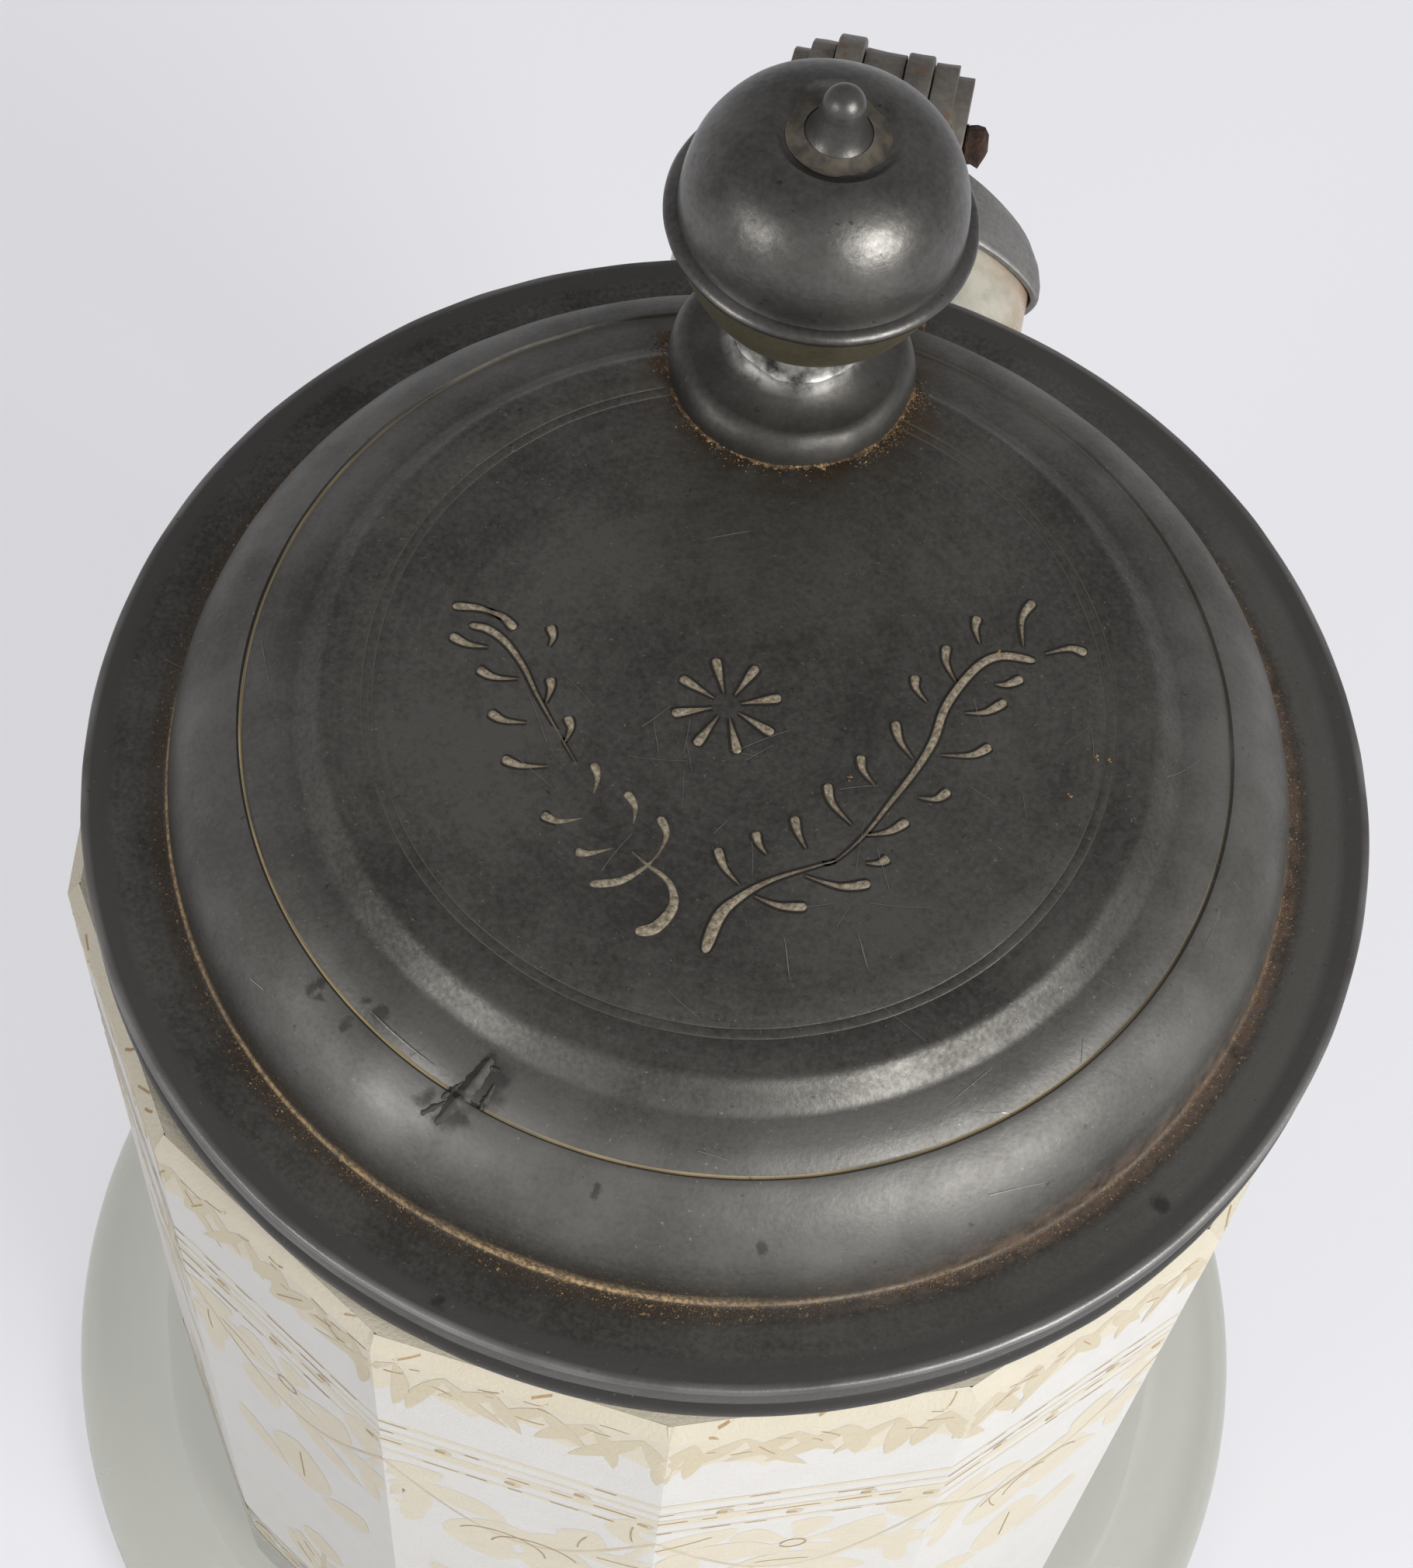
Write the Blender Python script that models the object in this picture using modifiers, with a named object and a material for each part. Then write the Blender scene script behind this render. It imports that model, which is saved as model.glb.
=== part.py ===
"""Cut glass tankard with a hinged pewter lid and a ball thumb-piece.

Metres, +Z up. The origin is on the vessel's axis, in the plane that it stands on.
The handle points along +Y, and the pin of the lid's hinge runs along X.
"""

import math

import bmesh
import bpy
import numpy as np
from mathutils import Matrix
from mathutils.geometry import interpolate_bezier

# Air between pieces that touch or are soldered together
GAP = 0.0003

# Glass vessel: a blown wall cut in flat facets, on a round spreading foot
BODY_HEIGHT = 0.1336
BODY_RADIUS = 0.0569
FACET_COUNT = 14
FACET_TURN = math.radians(7.3)
FACET_LEAN = math.radians(-0.3)
WALL = 0.0048
FLOOR_THICKNESS = 0.0120
CAVITY_CORNER = 0.0080
LIP_CHAMFER = 0.0012
FOOT_RADIUS = 0.0708
FOOT_EDGE = 0.0060
FOOT_SWEEP = 0.0110
FACET_RUNOUT = 0.0050
FOOT_ROUND = 0.0024

# Pewter lid: rolled rim, flat flange, convex shoulder, sloped band and raised plate
LID_SETBACK = 0.0016
LID_METAL = 0.0020
RIM_HEIGHT = 0.0080
RIM_WIDTH = 0.0048
RIM_GROOVE = 0.0009
FLANGE_WIDTH = 0.0073
SHOULDER_WIDTH = 0.0067
BAND_WIDTH = 0.0061
BAND_FALL = 0.0012
PLATE_ROLL = 0.0010
STEP_WIDTH = 0.0022
SHOULDER_TILT = math.radians(22)
DOME_RISE = 0.0100
PLATE_RISE = 0.0033
SCRIBED_LINE = 0.0005

# Hinge: five knuckles on an iron pin
HINGE_REACH = 0.0138
HINGE_RISE = 0.0050
FIXED_KNUCKLE_WIDTH = 0.0037
LID_KNUCKLE_WIDTH = 0.0024
FIXED_KNUCKLE_RADIUS = 0.0070
END_KNUCKLE_RADIUS = 0.0060
END_STEP = 0.0016
LID_KNUCKLE_RADIUS = 0.0080
LOW_KNUCKLE_RADIUS = 0.0074
PIN_RADIUS = 0.0016
PIN_HEAD_RADIUS = 0.0027
PIN_HEAD_HEIGHT = 0.0022
LEAF_METAL = 0.0025
STAND_METAL = 0.0018
STAND_DEPTH = 0.0100

# Glass handle: a broad ribbon, widest where it leaves the wall under the hinge
HANDLE_WIDTH = 0.0360
HANDLE_THICKNESS = 0.0200
HANDLE_FULLNESS = 1.6
HANDLE_TAPER = 0.54
TAPER_LEAD = -0.0010
TAPER_LENGTH = 0.0220
HANDLE_REACH = 0.0925
HANDLE_HEIGHT = 0.0840
SHOULDER_FALL = 1.15
HANDLE_ROOT_FALL = 0.0020
COLLAR_LENGTH = 0.0100
COLLAR_METAL = 0.0008

# Ball thumb-piece on the lid: turned foot, two hollow halves and a tip
THUMB_OFFSET = 0.0338
THUMB_SIDE = -0.0021
THUMB_LEAN = math.radians(2.3)
THUMB_FOOT_RADIUS = 0.0109
THUMB_FOOT_HEIGHT = 0.0048
NECK_RADIUS = 0.0055
BALL_SEAT_RADIUS = 0.0062
BALL_LIFT = 0.0206
BALL_RADIUS = 0.0120
BALL_METAL = 0.0020
BOWL_DEPTH = 0.0111
CAP_RISE = 0.0112
CAP_FULLNESS = 2.6
SEAM_LIP = 0.0011
SEAM_HEIGHT = 0.0015
RECESS_RADIUS = 0.0048
RECESS_DEPTH = 0.0008
TIP_RADIUS = 0.0032
TIP_HEIGHT = 0.0052

# Facets of the solids: sides round a turned piece, and points along an arc
WIDE_SIDES = 56
NARROW_SIDES = 28
ARC_POINTS = 6
QUARTER_ELLIPSE = 0.5523

# Places that follow from the sizes above
facet_apothem = BODY_RADIUS * math.cos(math.pi / FACET_COUNT)
cavity_radius = facet_apothem - WALL
lid_radius = BODY_RADIUS - LID_SETBACK
dome_radius = lid_radius - FLANGE_WIDTH
line_radius = dome_radius - SHOULDER_WIDTH
plate_radius = line_radius - BAND_WIDTH
flange_z = BODY_HEIGHT + GAP + RIM_HEIGHT
plate_z = flange_z + DOME_RISE + PLATE_RISE
hinge_y = lid_radius + HINGE_REACH
hinge_z = flange_z + HINGE_RISE
hinge_half_width = 1.5 * FIXED_KNUCKLE_WIDTH + LID_KNUCKLE_WIDTH + 2 * GAP
stand_z = hinge_z - LID_KNUCKLE_RADIUS - GAP
handle_z = stand_z - STAND_METAL - 2 * GAP - COLLAR_METAL - HANDLE_THICKNESS / 2


for thing in list(bpy.data.objects):
    bpy.data.objects.remove(thing)

tankard = bpy.data.collections.new("cut_glass_tankard")
cutters = bpy.data.collections.new("cutters")
for group in (tankard, cutters):
    bpy.context.scene.collection.children.link(group)


def finish(name, colour, roughness, metallic, transmission=0.0):
    """A Principled material of one colour."""
    material = bpy.data.materials.new(name)
    material.use_nodes = True
    shader = material.node_tree.nodes["Principled BSDF"]
    shader.inputs["Base Color"].default_value = (*colour, 1)
    shader.inputs["Roughness"].default_value = roughness
    shader.inputs["Metallic"].default_value = metallic
    shader.inputs["Transmission Weight"].default_value = transmission
    return material


def part(thing, material, parent=None):
    """Puts a finished piece in the tankard's collection, on the empty that carries it if it moves."""
    thing.data.materials.clear()
    thing.data.materials.append(material)
    tankard.objects.link(thing)
    if parent:
        thing.parent = parent
        thing.matrix_parent_inverse = Matrix.Translation(-parent.location)
    return thing


def cutter(thing):
    """Keeps a solid that only cuts or joins out of sight."""
    cutters.objects.link(thing)
    thing.hide_render = True
    thing.display_type = "WIRE"
    return thing


def boolean(thing, tool, operation):
    modifier = thing.modifiers.new(f"{operation.lower()} {tool.name}", "BOOLEAN")
    modifier.operation = operation
    modifier.object = tool
    modifier.solver = "EXACT"


def arc(centre, radii, start, end, points=ARC_POINTS):
    """Points on an ellipse in a profile's (radius, height) plane, with angles in degrees."""
    steps = [math.radians(start + (end - start) * i / (points - 1)) for i in range(points)]
    return [(centre[0] + radii[0] * math.cos(a), centre[1] + radii[1] * math.sin(a)) for a in steps]


def turned(name, profile, sides, smooth=True):
    """A profile of (radius, height) points, down its outer side, turned about Z."""
    mesh = bpy.data.meshes.new(name)
    edges = [(i, i + 1) for i in range(len(profile) - 1)]
    mesh.from_pydata([(radius, 0, height) for radius, height in profile], edges, [])
    thing = bpy.data.objects.new(name, mesh)
    screw = thing.modifiers.new("turned", "SCREW")
    screw.steps = sides
    screw.render_steps = sides
    screw.use_merge_vertices = True
    screw.merge_threshold = 0.00001
    screw.use_smooth_shade = smooth
    return thing


def solid_from_curve(guide):
    """The closed mesh that a curve makes, with its caps welded, in the curve's place."""
    bpy.context.scene.collection.objects.link(guide)
    bpy.context.view_layer.update()
    evaluated = guide.evaluated_get(bpy.context.evaluated_depsgraph_get())
    mesh = bpy.data.meshes.new_from_object(evaluated)
    shape = bmesh.new()
    shape.from_mesh(mesh)
    bmesh.ops.remove_doubles(shape, verts=shape.verts, dist=0.000001)
    bmesh.ops.recalc_face_normals(shape, faces=shape.faces)
    shape.to_mesh(mesh)
    shape.free()
    mesh.shade_smooth()
    mesh.set_sharp_from_angle(angle=math.radians(40))
    name = guide.name
    place = guide.matrix_world.copy()
    bpy.data.objects.remove(guide)
    thing = bpy.data.objects.new(name, mesh)
    thing.matrix_world = place
    return thing


def slab(name, outline, x_from, x_to):
    """An outline of (y, z) points, extruded along X."""
    curve = bpy.data.curves.new(name, "CURVE")
    curve.dimensions = "2D"
    curve.fill_mode = "BOTH"
    curve.extrude = (x_to - x_from) / 2
    spline = curve.splines.new("POLY")
    spline.points.add(len(outline) - 1)
    spline.use_cyclic_u = True
    for point, (y, z) in zip(spline.points, outline):
        point.co = (y, z, 0, 1)
    guide = bpy.data.objects.new(name, curve)
    across = Matrix.Rotation(math.pi / 2, 4, "Z") @ Matrix.Rotation(math.pi / 2, 4, "X")
    guide.matrix_world = Matrix.Translation(((x_from + x_to) / 2, 0, 0)) @ across
    return solid_from_curve(guide)


def handle_stations():
    """Points (y, z, share of the top width) down the handle's middle, and which of them the collar covers."""
    root_y = cavity_radius + WALL / 2
    root = (root_y, handle_z - HANDLE_ROOT_FALL)
    crest = (hinge_y, handle_z)
    shoulder = (HANDLE_REACH - hinge_y) * SHOULDER_FALL
    back = (HANDLE_REACH, handle_z - shoulder)
    tail = (root_y, handle_z - HANDLE_HEIGHT)
    run_in = (hinge_y - root_y) * QUARTER_ELLIPSE
    run_over = (HANDLE_REACH - hinge_y) * QUARTER_ELLIPSE
    run_down = shoulder * QUARTER_ELLIPSE
    run_under = (HANDLE_HEIGHT - shoulder) * QUARTER_ELLIPSE
    run_back = (HANDLE_REACH - root_y) * QUARTER_ELLIPSE
    bends = [
        (root, (root[0] + run_in, root[1]), (crest[0] - run_in, crest[1]), crest),
        (crest, (crest[0] + run_over, crest[1]), (back[0], back[1] + run_down), back),
        (back, (back[0], back[1] - run_under), (tail[0] + run_back, tail[1]), tail),
    ]
    fine = []
    ends = []
    for bend in bends:
        fine += [(p.x, p.y) for p in interpolate_bezier(*[(*p, 0) for p in bend], 60)]
        ends.append(len(fine) - 1)
    fine = np.array(fine)
    along = np.concatenate([[0], np.cumsum(np.hypot(*np.diff(fine, axis=0).T))])
    at_crest, at_back, at_tail = along[ends]
    band = np.linspace(at_crest, at_crest + COLLAR_LENGTH, 6)
    stops = np.concatenate([
        np.linspace(0, band[0], 4, endpoint=False),
        band,
        np.linspace(band[-1], at_back, 5)[1:],
        np.linspace(at_back, at_tail, 11)[1:],
    ])
    fall = np.clip((stops - at_crest + TAPER_LEAD) / TAPER_LENGTH, 0, 1)
    share = 1 - (1 - HANDLE_TAPER) * fall * fall * (3 - 2 * fall)
    y = np.interp(stops, along, fine[:, 0])
    z = np.interp(stops, along, fine[:, 1])
    return list(zip(y.tolist(), z.tolist(), share.tolist())), range(4, 4 + len(band))


def ribbon(name, stations, margin):
    """The handle's lean oval section, larger by a margin all round, swept through some of its stations."""
    section = bpy.data.curves.new(f"{name} section", "CURVE")
    section.dimensions = "2D"
    oval = section.splines.new("POLY")
    half_width = HANDLE_WIDTH / 2 + margin
    half_height = HANDLE_THICKNESS / 2 + margin
    power = 2 / HANDLE_FULLNESS
    corners = [
        (
            half_width * math.copysign(abs(x) ** power, x),
            half_height * math.copysign(abs(y) ** power, y),
        )
        for x, y in arc((0, 0), (1, 1), 0, 360, 21)[:-1]
    ]
    oval.points.add(len(corners) - 1)
    oval.use_cyclic_u = True
    for point, (across, up) in zip(oval.points, corners):
        point.co = (across, up, 0, 1)
    outline = bpy.data.objects.new(section.name, section)

    curve = bpy.data.curves.new(name, "CURVE")
    curve.dimensions = "3D"
    curve.bevel_mode = "OBJECT"
    curve.bevel_object = outline
    curve.use_fill_caps = True
    spline = curve.splines.new("POLY")
    spline.points.add(len(stations) - 1)
    for point, (y, z, share) in zip(spline.points, stations):
        point.co = (0, y, z, 1)
        point.radius = share
    thing = solid_from_curve(bpy.data.objects.new(name, curve))
    bpy.data.objects.remove(outline)
    return thing


def shoulder_arc(inset, points):
    """The lid's convex shoulder, from its tilted upper end down to the flange, inset by a thickness."""
    width = dome_radius - line_radius - SCRIBED_LINE
    height = DOME_RISE - SCRIBED_LINE / 4
    share = math.tan(SHOULDER_TILT) * width / height
    start = math.acos(share / (1 - share))
    across = width / (1 - math.cos(start))
    up = height / math.sin(start)
    radii = (across - inset, up - inset)
    return arc((dome_radius - across, flange_z), radii, math.degrees(start), 0, points)


def lid_top(raise_by=0.0, scribed=True):
    """The lid's upper side from its centre to the foot of the shoulder, as (radius, height) points."""
    line_z = flange_z + DOME_RISE
    band_z = line_z + BAND_FALL
    steps = [i / 7 for i in range(8)]
    step_from = plate_radius - PLATE_ROLL
    step = [
        (
            step_from + (PLATE_ROLL + STEP_WIDTH) * t,
            band_z + (plate_z - band_z) * (1 + math.cos(math.pi * t)) / 2,
        )
        for t in steps
    ]
    line = []
    if scribed:
        line = [(line_radius - SCRIBED_LINE, line_z), (line_radius, line_z - SCRIBED_LINE)]
    points = [(0, plate_z), *step, *line, *shoulder_arc(0, 8)]
    return [(radius + raise_by * (radius > 0), height + raise_by) for radius, height in points]


clear_glass = finish("clear_glass", (0.86, 0.87, 0.82), 0.05, 0.0, 0.8)
green_glass = finish("green_glass", (0.72, 0.75, 0.66), 0.08, 0.0, 0.7)
old_pewter = finish("old_pewter", (0.16, 0.155, 0.145), 0.42, 1.0)
worn_pewter = finish("worn_pewter", (0.20, 0.195, 0.185), 0.36, 1.0)
rusty_iron = finish("rusty_iron", (0.13, 0.075, 0.05), 0.75, 0.8)

lid_hinge = bpy.data.objects.new("lid_hinge_axis", None)
lid_hinge.location = (0, hinge_y, hinge_z)
tankard.objects.link(lid_hinge)

# Glass vessel: turned hollow, then ground to flats that run out in the sweep of the foot
blank_radius = BODY_RADIUS + GAP
sweep_z = FOOT_EDGE + FOOT_SWEEP
vessel_profile = [
    (0, FLOOR_THICKNESS),
    *arc((cavity_radius - CAVITY_CORNER, FLOOR_THICKNESS + CAVITY_CORNER), (CAVITY_CORNER, CAVITY_CORNER), -90, 0),
    (cavity_radius, BODY_HEIGHT),
    (blank_radius, BODY_HEIGHT),
    *arc((FOOT_RADIUS - FOOT_ROUND, sweep_z), (FOOT_RADIUS - FOOT_ROUND - blank_radius, FOOT_SWEEP), 180, 270),
    *arc((FOOT_RADIUS - FOOT_ROUND, FOOT_EDGE / 2), (FOOT_ROUND, FOOT_EDGE / 2), 75, -90),
    (0, 0),
]
facet_profile = [
    (0, BODY_HEIGHT + WALL),
    (BODY_RADIUS - LIP_CHAMFER - WALL, BODY_HEIGHT + WALL),
    (BODY_RADIUS, BODY_HEIGHT - LIP_CHAMFER),
    (BODY_RADIUS, FOOT_EDGE + FACET_RUNOUT),
    (FOOT_RADIUS * 1.1, FOOT_EDGE),
    (FOOT_RADIUS * 1.1, -FOOT_EDGE),
    (0, -FOOT_EDGE),
]
facets = cutter(turned("facets", facet_profile, FACET_COUNT, smooth=False))
facets.matrix_world = Matrix.Rotation(FACET_LEAN, 4, "Y") @ Matrix.Rotation(math.pi / 2 + FACET_TURN, 4, "Z")
glass_body = turned("glass_body", vessel_profile, WIDE_SIDES)
boolean(glass_body, facets, "INTERSECT")
part(glass_body, clear_glass)

# Glass handle: one broad ribbon, laid on the wall at both ends
stations, banded = handle_stations()
wall_room_radius = BODY_RADIUS + GAP / math.cos(math.pi / FACET_COUNT)
wall_room_profile = [
    (0, BODY_HEIGHT + HANDLE_HEIGHT),
    (wall_room_radius, BODY_HEIGHT + HANDLE_HEIGHT),
    (wall_room_radius, -HANDLE_HEIGHT),
    (0, -HANDLE_HEIGHT),
]
wall_room = cutter(turned("wall_room", wall_room_profile, FACET_COUNT, smooth=False))
wall_room.matrix_world = facets.matrix_world.copy()
glass_handle = ribbon("glass_handle", stations, 0)
boolean(glass_handle, wall_room, "DIFFERENCE")
part(glass_handle, green_glass)

# Pewter collar: a band round the crest of the handle
banded_stations = [stations[i] for i in banded]
longer_stations = [stations[i] for i in range(banded.start - 1, banded.stop + 1)]
collar_room = cutter(ribbon("collar_room", longer_stations, GAP))
handle_collar = ribbon("handle_collar", banded_stations, GAP + COLLAR_METAL)
boolean(handle_collar, collar_room, "DIFFERENCE")
part(handle_collar, old_pewter)

# Hinge stand: a block bedded on the collar, and the fixed knuckles on their webs
knuckle_pitch = FIXED_KNUCKLE_WIDTH + LID_KNUCKLE_WIDTH + 2 * GAP
pin_room_profile = [
    (0, 2 * hinge_half_width),
    (PIN_RADIUS + GAP, 2 * hinge_half_width),
    (PIN_RADIUS + GAP, -2 * hinge_half_width),
    (0, -2 * hinge_half_width),
]
pin_room = cutter(turned("pin_room", pin_room_profile, NARROW_SIDES))
pin_room.location = (0, hinge_y, hinge_z)
pin_room.rotation_euler.y = math.pi / 2
stand_front = hinge_y - GAP
stand_back = hinge_y + STAND_DEPTH
stand_foot = stand_z - STAND_METAL - HANDLE_THICKNESS / 3
stand_outline = [(stand_front, stand_foot), (stand_back, stand_foot), (stand_back, stand_z), (stand_front, stand_z)]
hinge_stand = slab("hinge_stand", stand_outline, -hinge_half_width, hinge_half_width)
web_z = stand_z - STAND_METAL / 2
step_x = hinge_half_width - END_STEP
inner_x = hinge_half_width - FIXED_KNUCKLE_WIDTH
fixed_spans = [
    (-hinge_half_width, GAP - step_x, END_KNUCKLE_RADIUS),
    (-step_x, -inner_x, FIXED_KNUCKLE_RADIUS),
    (-FIXED_KNUCKLE_WIDTH / 2, FIXED_KNUCKLE_WIDTH / 2, FIXED_KNUCKLE_RADIUS),
    (inner_x, step_x, FIXED_KNUCKLE_RADIUS),
    (step_x - GAP, hinge_half_width, END_KNUCKLE_RADIUS),
]
for number, (x_from, x_to, radius) in enumerate(fixed_spans):
    fixed_outline = [
        (hinge_y + GAP, web_z),
        (hinge_y + radius, web_z),
        *arc((hinge_y, hinge_z), (radius, radius), 0, 240, 13),
    ]
    knuckle = slab(f"fixed_knuckle_{number}", fixed_outline, x_from, x_to)
    boolean(hinge_stand, cutter(knuckle), "UNION")
stand_room = cutter(ribbon("stand_room", longer_stations, 2 * GAP + COLLAR_METAL))
boolean(hinge_stand, stand_room, "DIFFERENCE")
boolean(hinge_stand, pin_room, "DIFFERENCE")
part(hinge_stand, old_pewter)

# Hinge pin: iron wire with a peened head at each end
head_z = hinge_half_width + GAP
pin_profile = [
    *arc((0, head_z), (PIN_HEAD_RADIUS, PIN_HEAD_HEIGHT), 90, 0, 5),
    (PIN_RADIUS, head_z),
    (PIN_RADIUS, -head_z),
    *arc((0, -head_z), (PIN_HEAD_RADIUS, PIN_HEAD_HEIGHT), 0, -90, 5),
]
hinge_pin = turned("hinge_pin", pin_profile, NARROW_SIDES)
hinge_pin.location = (0, hinge_y, hinge_z)
hinge_pin.rotation_euler.y = math.pi / 2
part(hinge_pin, rusty_iron)

# Lid cover: one turned casting, hollow under its dome
metal = LID_METAL
rim_foot = flange_z - RIM_HEIGHT
lip_radius = RIM_HEIGHT / 5
bead_radius = RIM_HEIGHT * 0.3
lid_profile = [
    *lid_top(),
    *arc((lid_radius - lip_radius, flange_z - lip_radius), (lip_radius, lip_radius), 90, -20, 5),
    (lid_radius - RIM_GROOVE, rim_foot + 2 * bead_radius),
    *arc((lid_radius - bead_radius, rim_foot + bead_radius), (bead_radius, bead_radius), 60, -90, 7),
    (lid_radius - RIM_WIDTH + lip_radius / 2, rim_foot),
    (lid_radius - RIM_WIDTH, rim_foot + lip_radius / 2),
    (lid_radius - RIM_WIDTH, flange_z - metal),
    (dome_radius - metal, flange_z - metal),
    *reversed(shoulder_arc(metal, 6)),
    (plate_radius + STEP_WIDTH - metal / 3, flange_z + DOME_RISE + BAND_FALL - metal),
    (plate_radius - PLATE_ROLL - metal / 3, plate_z - metal),
    (0, plate_z - metal),
]
lid_cover = turned("lid_cover", lid_profile, WIDE_SIDES)
part(lid_cover, old_pewter, lid_hinge)

# Lid leaf: a plate soldered on the flange, with the moving knuckles at its end
leaf_z = flange_z + GAP
leaf_back = hinge_y - FIXED_KNUCKLE_RADIUS - 2 * GAP
leaf_outline = [
    (dome_radius + 2 * GAP, leaf_z),
    (leaf_back, leaf_z),
    (leaf_back, leaf_z + LEAF_METAL),
    (dome_radius + 2 * GAP, leaf_z + LEAF_METAL),
]
lid_hinge_leaf = slab("lid_hinge_leaf", leaf_outline, -hinge_half_width, hinge_half_width)
for number, radius in enumerate((LID_KNUCKLE_RADIUS, LOW_KNUCKLE_RADIUS)):
    moving_outline = [
        (leaf_back - LEAF_METAL, leaf_z + LEAF_METAL / 2),
        (hinge_y, leaf_z + LEAF_METAL / 2),
        *arc((hinge_y, hinge_z), (radius, radius), -90, 150, 17),
        (leaf_back - LEAF_METAL, leaf_z + LEAF_METAL - GAP),
    ]
    start = -hinge_half_width + FIXED_KNUCKLE_WIDTH + GAP + number * knuckle_pitch
    knuckle = slab(f"moving_knuckle_{number}", moving_outline, start, start + LID_KNUCKLE_WIDTH)
    boolean(lid_hinge_leaf, cutter(knuckle), "UNION")
boolean(lid_hinge_leaf, pin_room, "DIFFERENCE")
part(lid_hinge_leaf, old_pewter, lid_hinge)

# Thumb foot: turned foot and neck, scribed to the lid's steps
lid_room_profile = [*lid_top(GAP, scribed=False), (0, flange_z + GAP)]
lid_room = cutter(turned("lid_room", lid_room_profile, WIDE_SIDES))
thumb_base = Matrix.Translation((THUMB_SIDE, THUMB_OFFSET, plate_z))
thumb_place = thumb_base @ Matrix.Rotation(THUMB_LEAN, 4, "Y") @ Matrix.Translation((0, 0, BALL_LIFT))
neck_z = -BOWL_DEPTH - GAP
foot_z = THUMB_FOOT_HEIGHT - BALL_LIFT
foot_round = THUMB_FOOT_RADIUS / 6
foot_swell = THUMB_FOOT_HEIGHT * 0.6
foot_end_z = -BALL_LIFT - PLATE_RISE - DOME_RISE / 2
waist = (neck_z - foot_z) / 2
thumb_foot_profile = [
    (0, neck_z),
    (BALL_SEAT_RADIUS, neck_z),
    *arc((BALL_SEAT_RADIUS, neck_z - waist), (BALL_SEAT_RADIUS - NECK_RADIUS, waist * 0.8), 120, 240, 5),
    *arc(
        (THUMB_FOOT_RADIUS - foot_round, foot_z),
        (THUMB_FOOT_RADIUS - foot_round - NECK_RADIUS, THUMB_FOOT_HEIGHT - foot_swell),
        180,
        270,
        5,
    ),
    *arc((THUMB_FOOT_RADIUS - foot_round, -BALL_LIFT), (foot_round, foot_swell), 75, 0, 5),
    (THUMB_FOOT_RADIUS, foot_end_z),
    (0, foot_end_z),
]
thumb_foot = turned("thumb_foot", thumb_foot_profile, NARROW_SIDES)
thumb_foot.matrix_world = thumb_place
boolean(thumb_foot, lid_room, "DIFFERENCE")
part(thumb_foot, worn_pewter, lid_hinge)


def swell(radius, height, start, end, points):
    """A dome's outline, fuller than an ellipse, between two angles in degrees."""
    steps = [math.radians(start + (end - start) * i / (points - 1)) for i in range(points)]
    power = 2 / CAP_FULLNESS
    return [(radius * abs(math.cos(a)) ** power, height * abs(math.sin(a)) ** power) for a in steps]


# Thumb bowl and cap: two hollow halves, with the cap's lip over the seam
inner_radius = BALL_RADIUS - BALL_METAL
bowl_half = BOWL_DEPTH / math.sqrt(1 - (BALL_SEAT_RADIUS / BALL_RADIUS) ** 2)
bowl_top = SEAM_HEIGHT / 2 + GAP
inner_depth = BOWL_DEPTH - BALL_METAL
seat_angle = math.degrees(math.acos(BALL_SEAT_RADIUS / BALL_RADIUS))
bowl_profile = [
    *arc((0, -bowl_top), (inner_radius, inner_depth - bowl_top), -90, 0, 7),
    *arc((0, 0), (BALL_RADIUS, bowl_half), -math.degrees(math.asin(bowl_top / bowl_half)), -seat_angle, 7),
    (0, -BOWL_DEPTH),
]
thumb_bowl = turned("thumb_bowl", bowl_profile, NARROW_SIDES)
thumb_bowl.matrix_world = thumb_place
part(thumb_bowl, worn_pewter, lid_hinge)

recess_angle = math.degrees(math.acos((RECESS_RADIUS / BALL_RADIUS) ** (CAP_FULLNESS / 2)))
recess_top = CAP_RISE * math.sin(math.radians(recess_angle)) ** (2 / CAP_FULLNESS)
recess_z = recess_top - RECESS_DEPTH
crown_rise = recess_z - BALL_METAL
cap_profile = [
    (0, recess_z),
    (RECESS_RADIUS - RECESS_DEPTH, recess_z),
    *swell(BALL_RADIUS, CAP_RISE, recess_angle, 6, 10),
    *arc((BALL_RADIUS, 0), (SEAM_LIP, SEAM_HEIGHT / 2), 90, -90, 6),
    (inner_radius, -SEAM_HEIGHT / 2),
    *arc((0, 0), (inner_radius, crown_rise), 0, 90, 6),
]
thumb_cap = turned("thumb_cap", cap_profile, NARROW_SIDES)
thumb_cap.matrix_world = thumb_place
part(thumb_cap, worn_pewter, lid_hinge)

# Thumb tip: a small turned point in the cap's recess
tip_z = recess_z + GAP
point_radius = TIP_RADIUS * 0.55
tip_profile = [
    *arc((0, tip_z + TIP_HEIGHT - point_radius), (point_radius, point_radius), 90, 0, 5),
    (TIP_RADIUS * 0.8, tip_z + TIP_HEIGHT / 4),
    (TIP_RADIUS, tip_z + TIP_HEIGHT / 5),
    (TIP_RADIUS, tip_z),
    (0, tip_z),
]
thumb_tip = turned("thumb_tip", tip_profile, NARROW_SIDES)
thumb_tip.matrix_world = thumb_place
part(thumb_tip, worn_pewter, lid_hinge)
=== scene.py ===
"""Looks of a cut glass tankard with a hinged pewter lid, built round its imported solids.

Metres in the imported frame: +Z up, the handle and the hinge towards +Y. Profiles are in millimetres.
"""

import math
import random

import bmesh
import bpy
import numpy as np
from mathutils import Matrix, Vector, noise


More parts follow.
